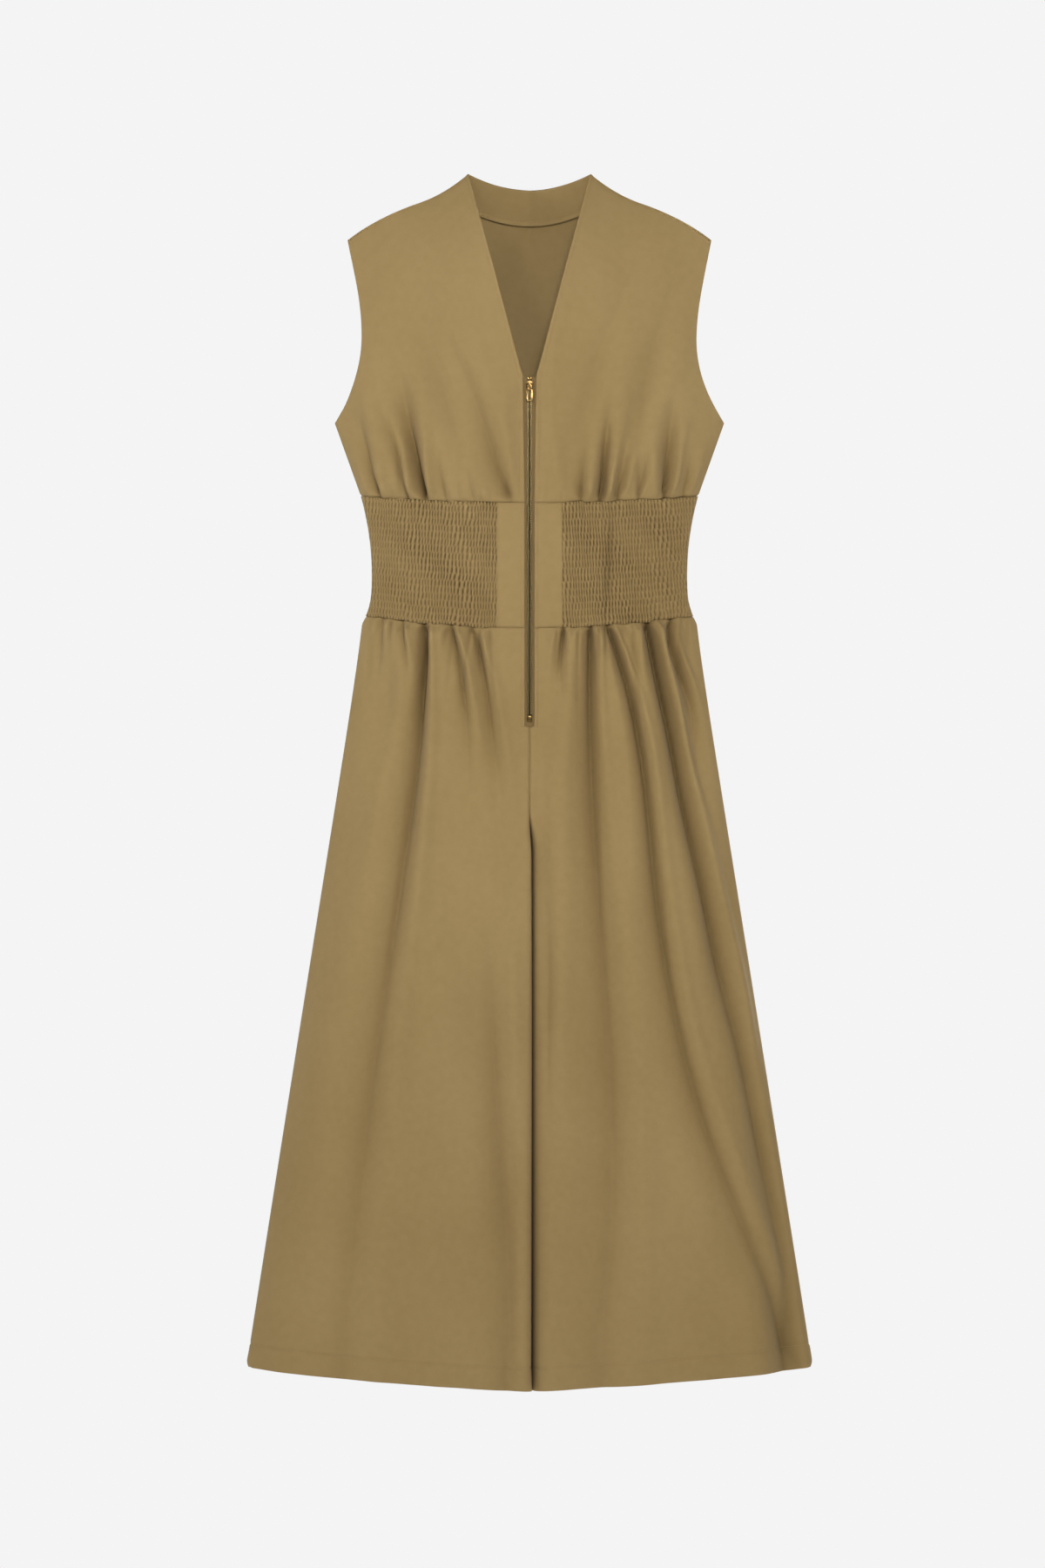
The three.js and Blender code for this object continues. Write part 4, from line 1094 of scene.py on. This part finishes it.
def teethRow(name, way):
    low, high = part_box(f"zip_teeth_{name.lower()}")
    top, bottom = high.z / mm, low.z / mm
    stagger = 0 if way > 0 else zipMetal["pitch"] / 2
    count = int((top - bottom - stagger) / zipMetal["pitch"])
    shape, faces = oneTooth(way)
    points, allFaces = [], []
    for i in range(count):
        z = top - stagger - zipMetal["pitch"] * (i + 0.5)
        allFaces += [[k + i * len(shape) for k in face] for face in faces]
        points.append(shape + np.array([0, 0, z]))
    mesh = bpy.data.meshes.new("zipTeeth" + name)
    mesh.from_pydata((np.concatenate(points) * mm).tolist(), [], allFaces)
    mesh.materials.append(toothBrass)
    piece = addObject("zipTeeth" + name, mesh)
    pick(piece)
    bpy.ops.object.mode_set(mode="EDIT")
    bpy.ops.mesh.select_all(action="SELECT")
    bpy.ops.mesh.normals_make_consistent(inside=False)
    bpy.ops.object.mode_set(mode="OBJECT")
    bpy.ops.object.shade_smooth_by_angle(angle=math.radians(40))
    ride(piece, "antique_brass", f"zip_teeth_{name.lower()}")


def zipTape(name, way):
    # woven tape with a corded edge beside the teeth and ribs along it
    low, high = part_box(f"zip_tape_{name.lower()}")
    across = np.linspace(0, 1, 37)
    width = (high.x - low.x) / mm
    inner = (low.x if way > 0 else high.x) / mm
    turn = zipCut["bottom"] - 0.4
    z = linesThrough([low.z / mm, turn - 0.6, turn + 0.6, high.z / mm], [6, 4, 60])
    grid, gridZ = np.meshgrid(across, z)
    meet = smoothStep(turn + 0.5, turn - 0.5, gridZ)     # under the bottom stop the two tapes meet
    innerX = inner * (1 - meet) + way * tapeCut["centreGap"] * meet
    gridX = innerX + (inner + way * width - innerX) * grid
    share = np.abs(gridX - innerX)
    y = np.full_like(gridX, low.y / mm) - tapeCut["cord"] * hump(share, 0.45, 0.5)
    y += tapeCut["rib"] * np.cos(share * 2 * math.pi / tapeCut["ribPitch"]) * (share > 1)
    points = np.stack([gridX, y, gridZ], axis=-1)
    piece = clothShell("zipTape" + name, points, -1, tapeCut["thickness"], tapeWeave)
    ride(piece, "zip_tape_cloth", f"zip_tape_{name.lower()}")


for zipWay, zipName in ((1, "Left"), (-1, "Right")):
    teethRow(zipName, zipWay)
    zipTape(zipName, zipWay)
    finePiece("zipTopStop" + zipName, f"zip_top_stop_{zipName.lower()}", 0.4, 3)
finePiece("zipBottomStop", "zip_bottom_stop", 0.5, 3)
finePiece("zipSlider", "zip_slider", 0.14, 2, body="slider")
finePiece("zipPullTab", "zip_pull_tab", 0.28, 3, body="pull_tab")

for node in ("shirring_elastic_front_left", "shirring_elastic_front_right", "shirring_elastic_back"):
    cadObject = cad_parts[node]
    if not cadObject.data.materials:
        cadObject.data.materials.append(elasticYarn)
    for materialSlot in cadObject.material_slots:
        materialSlot.material = elasticYarn
print("zip ready")
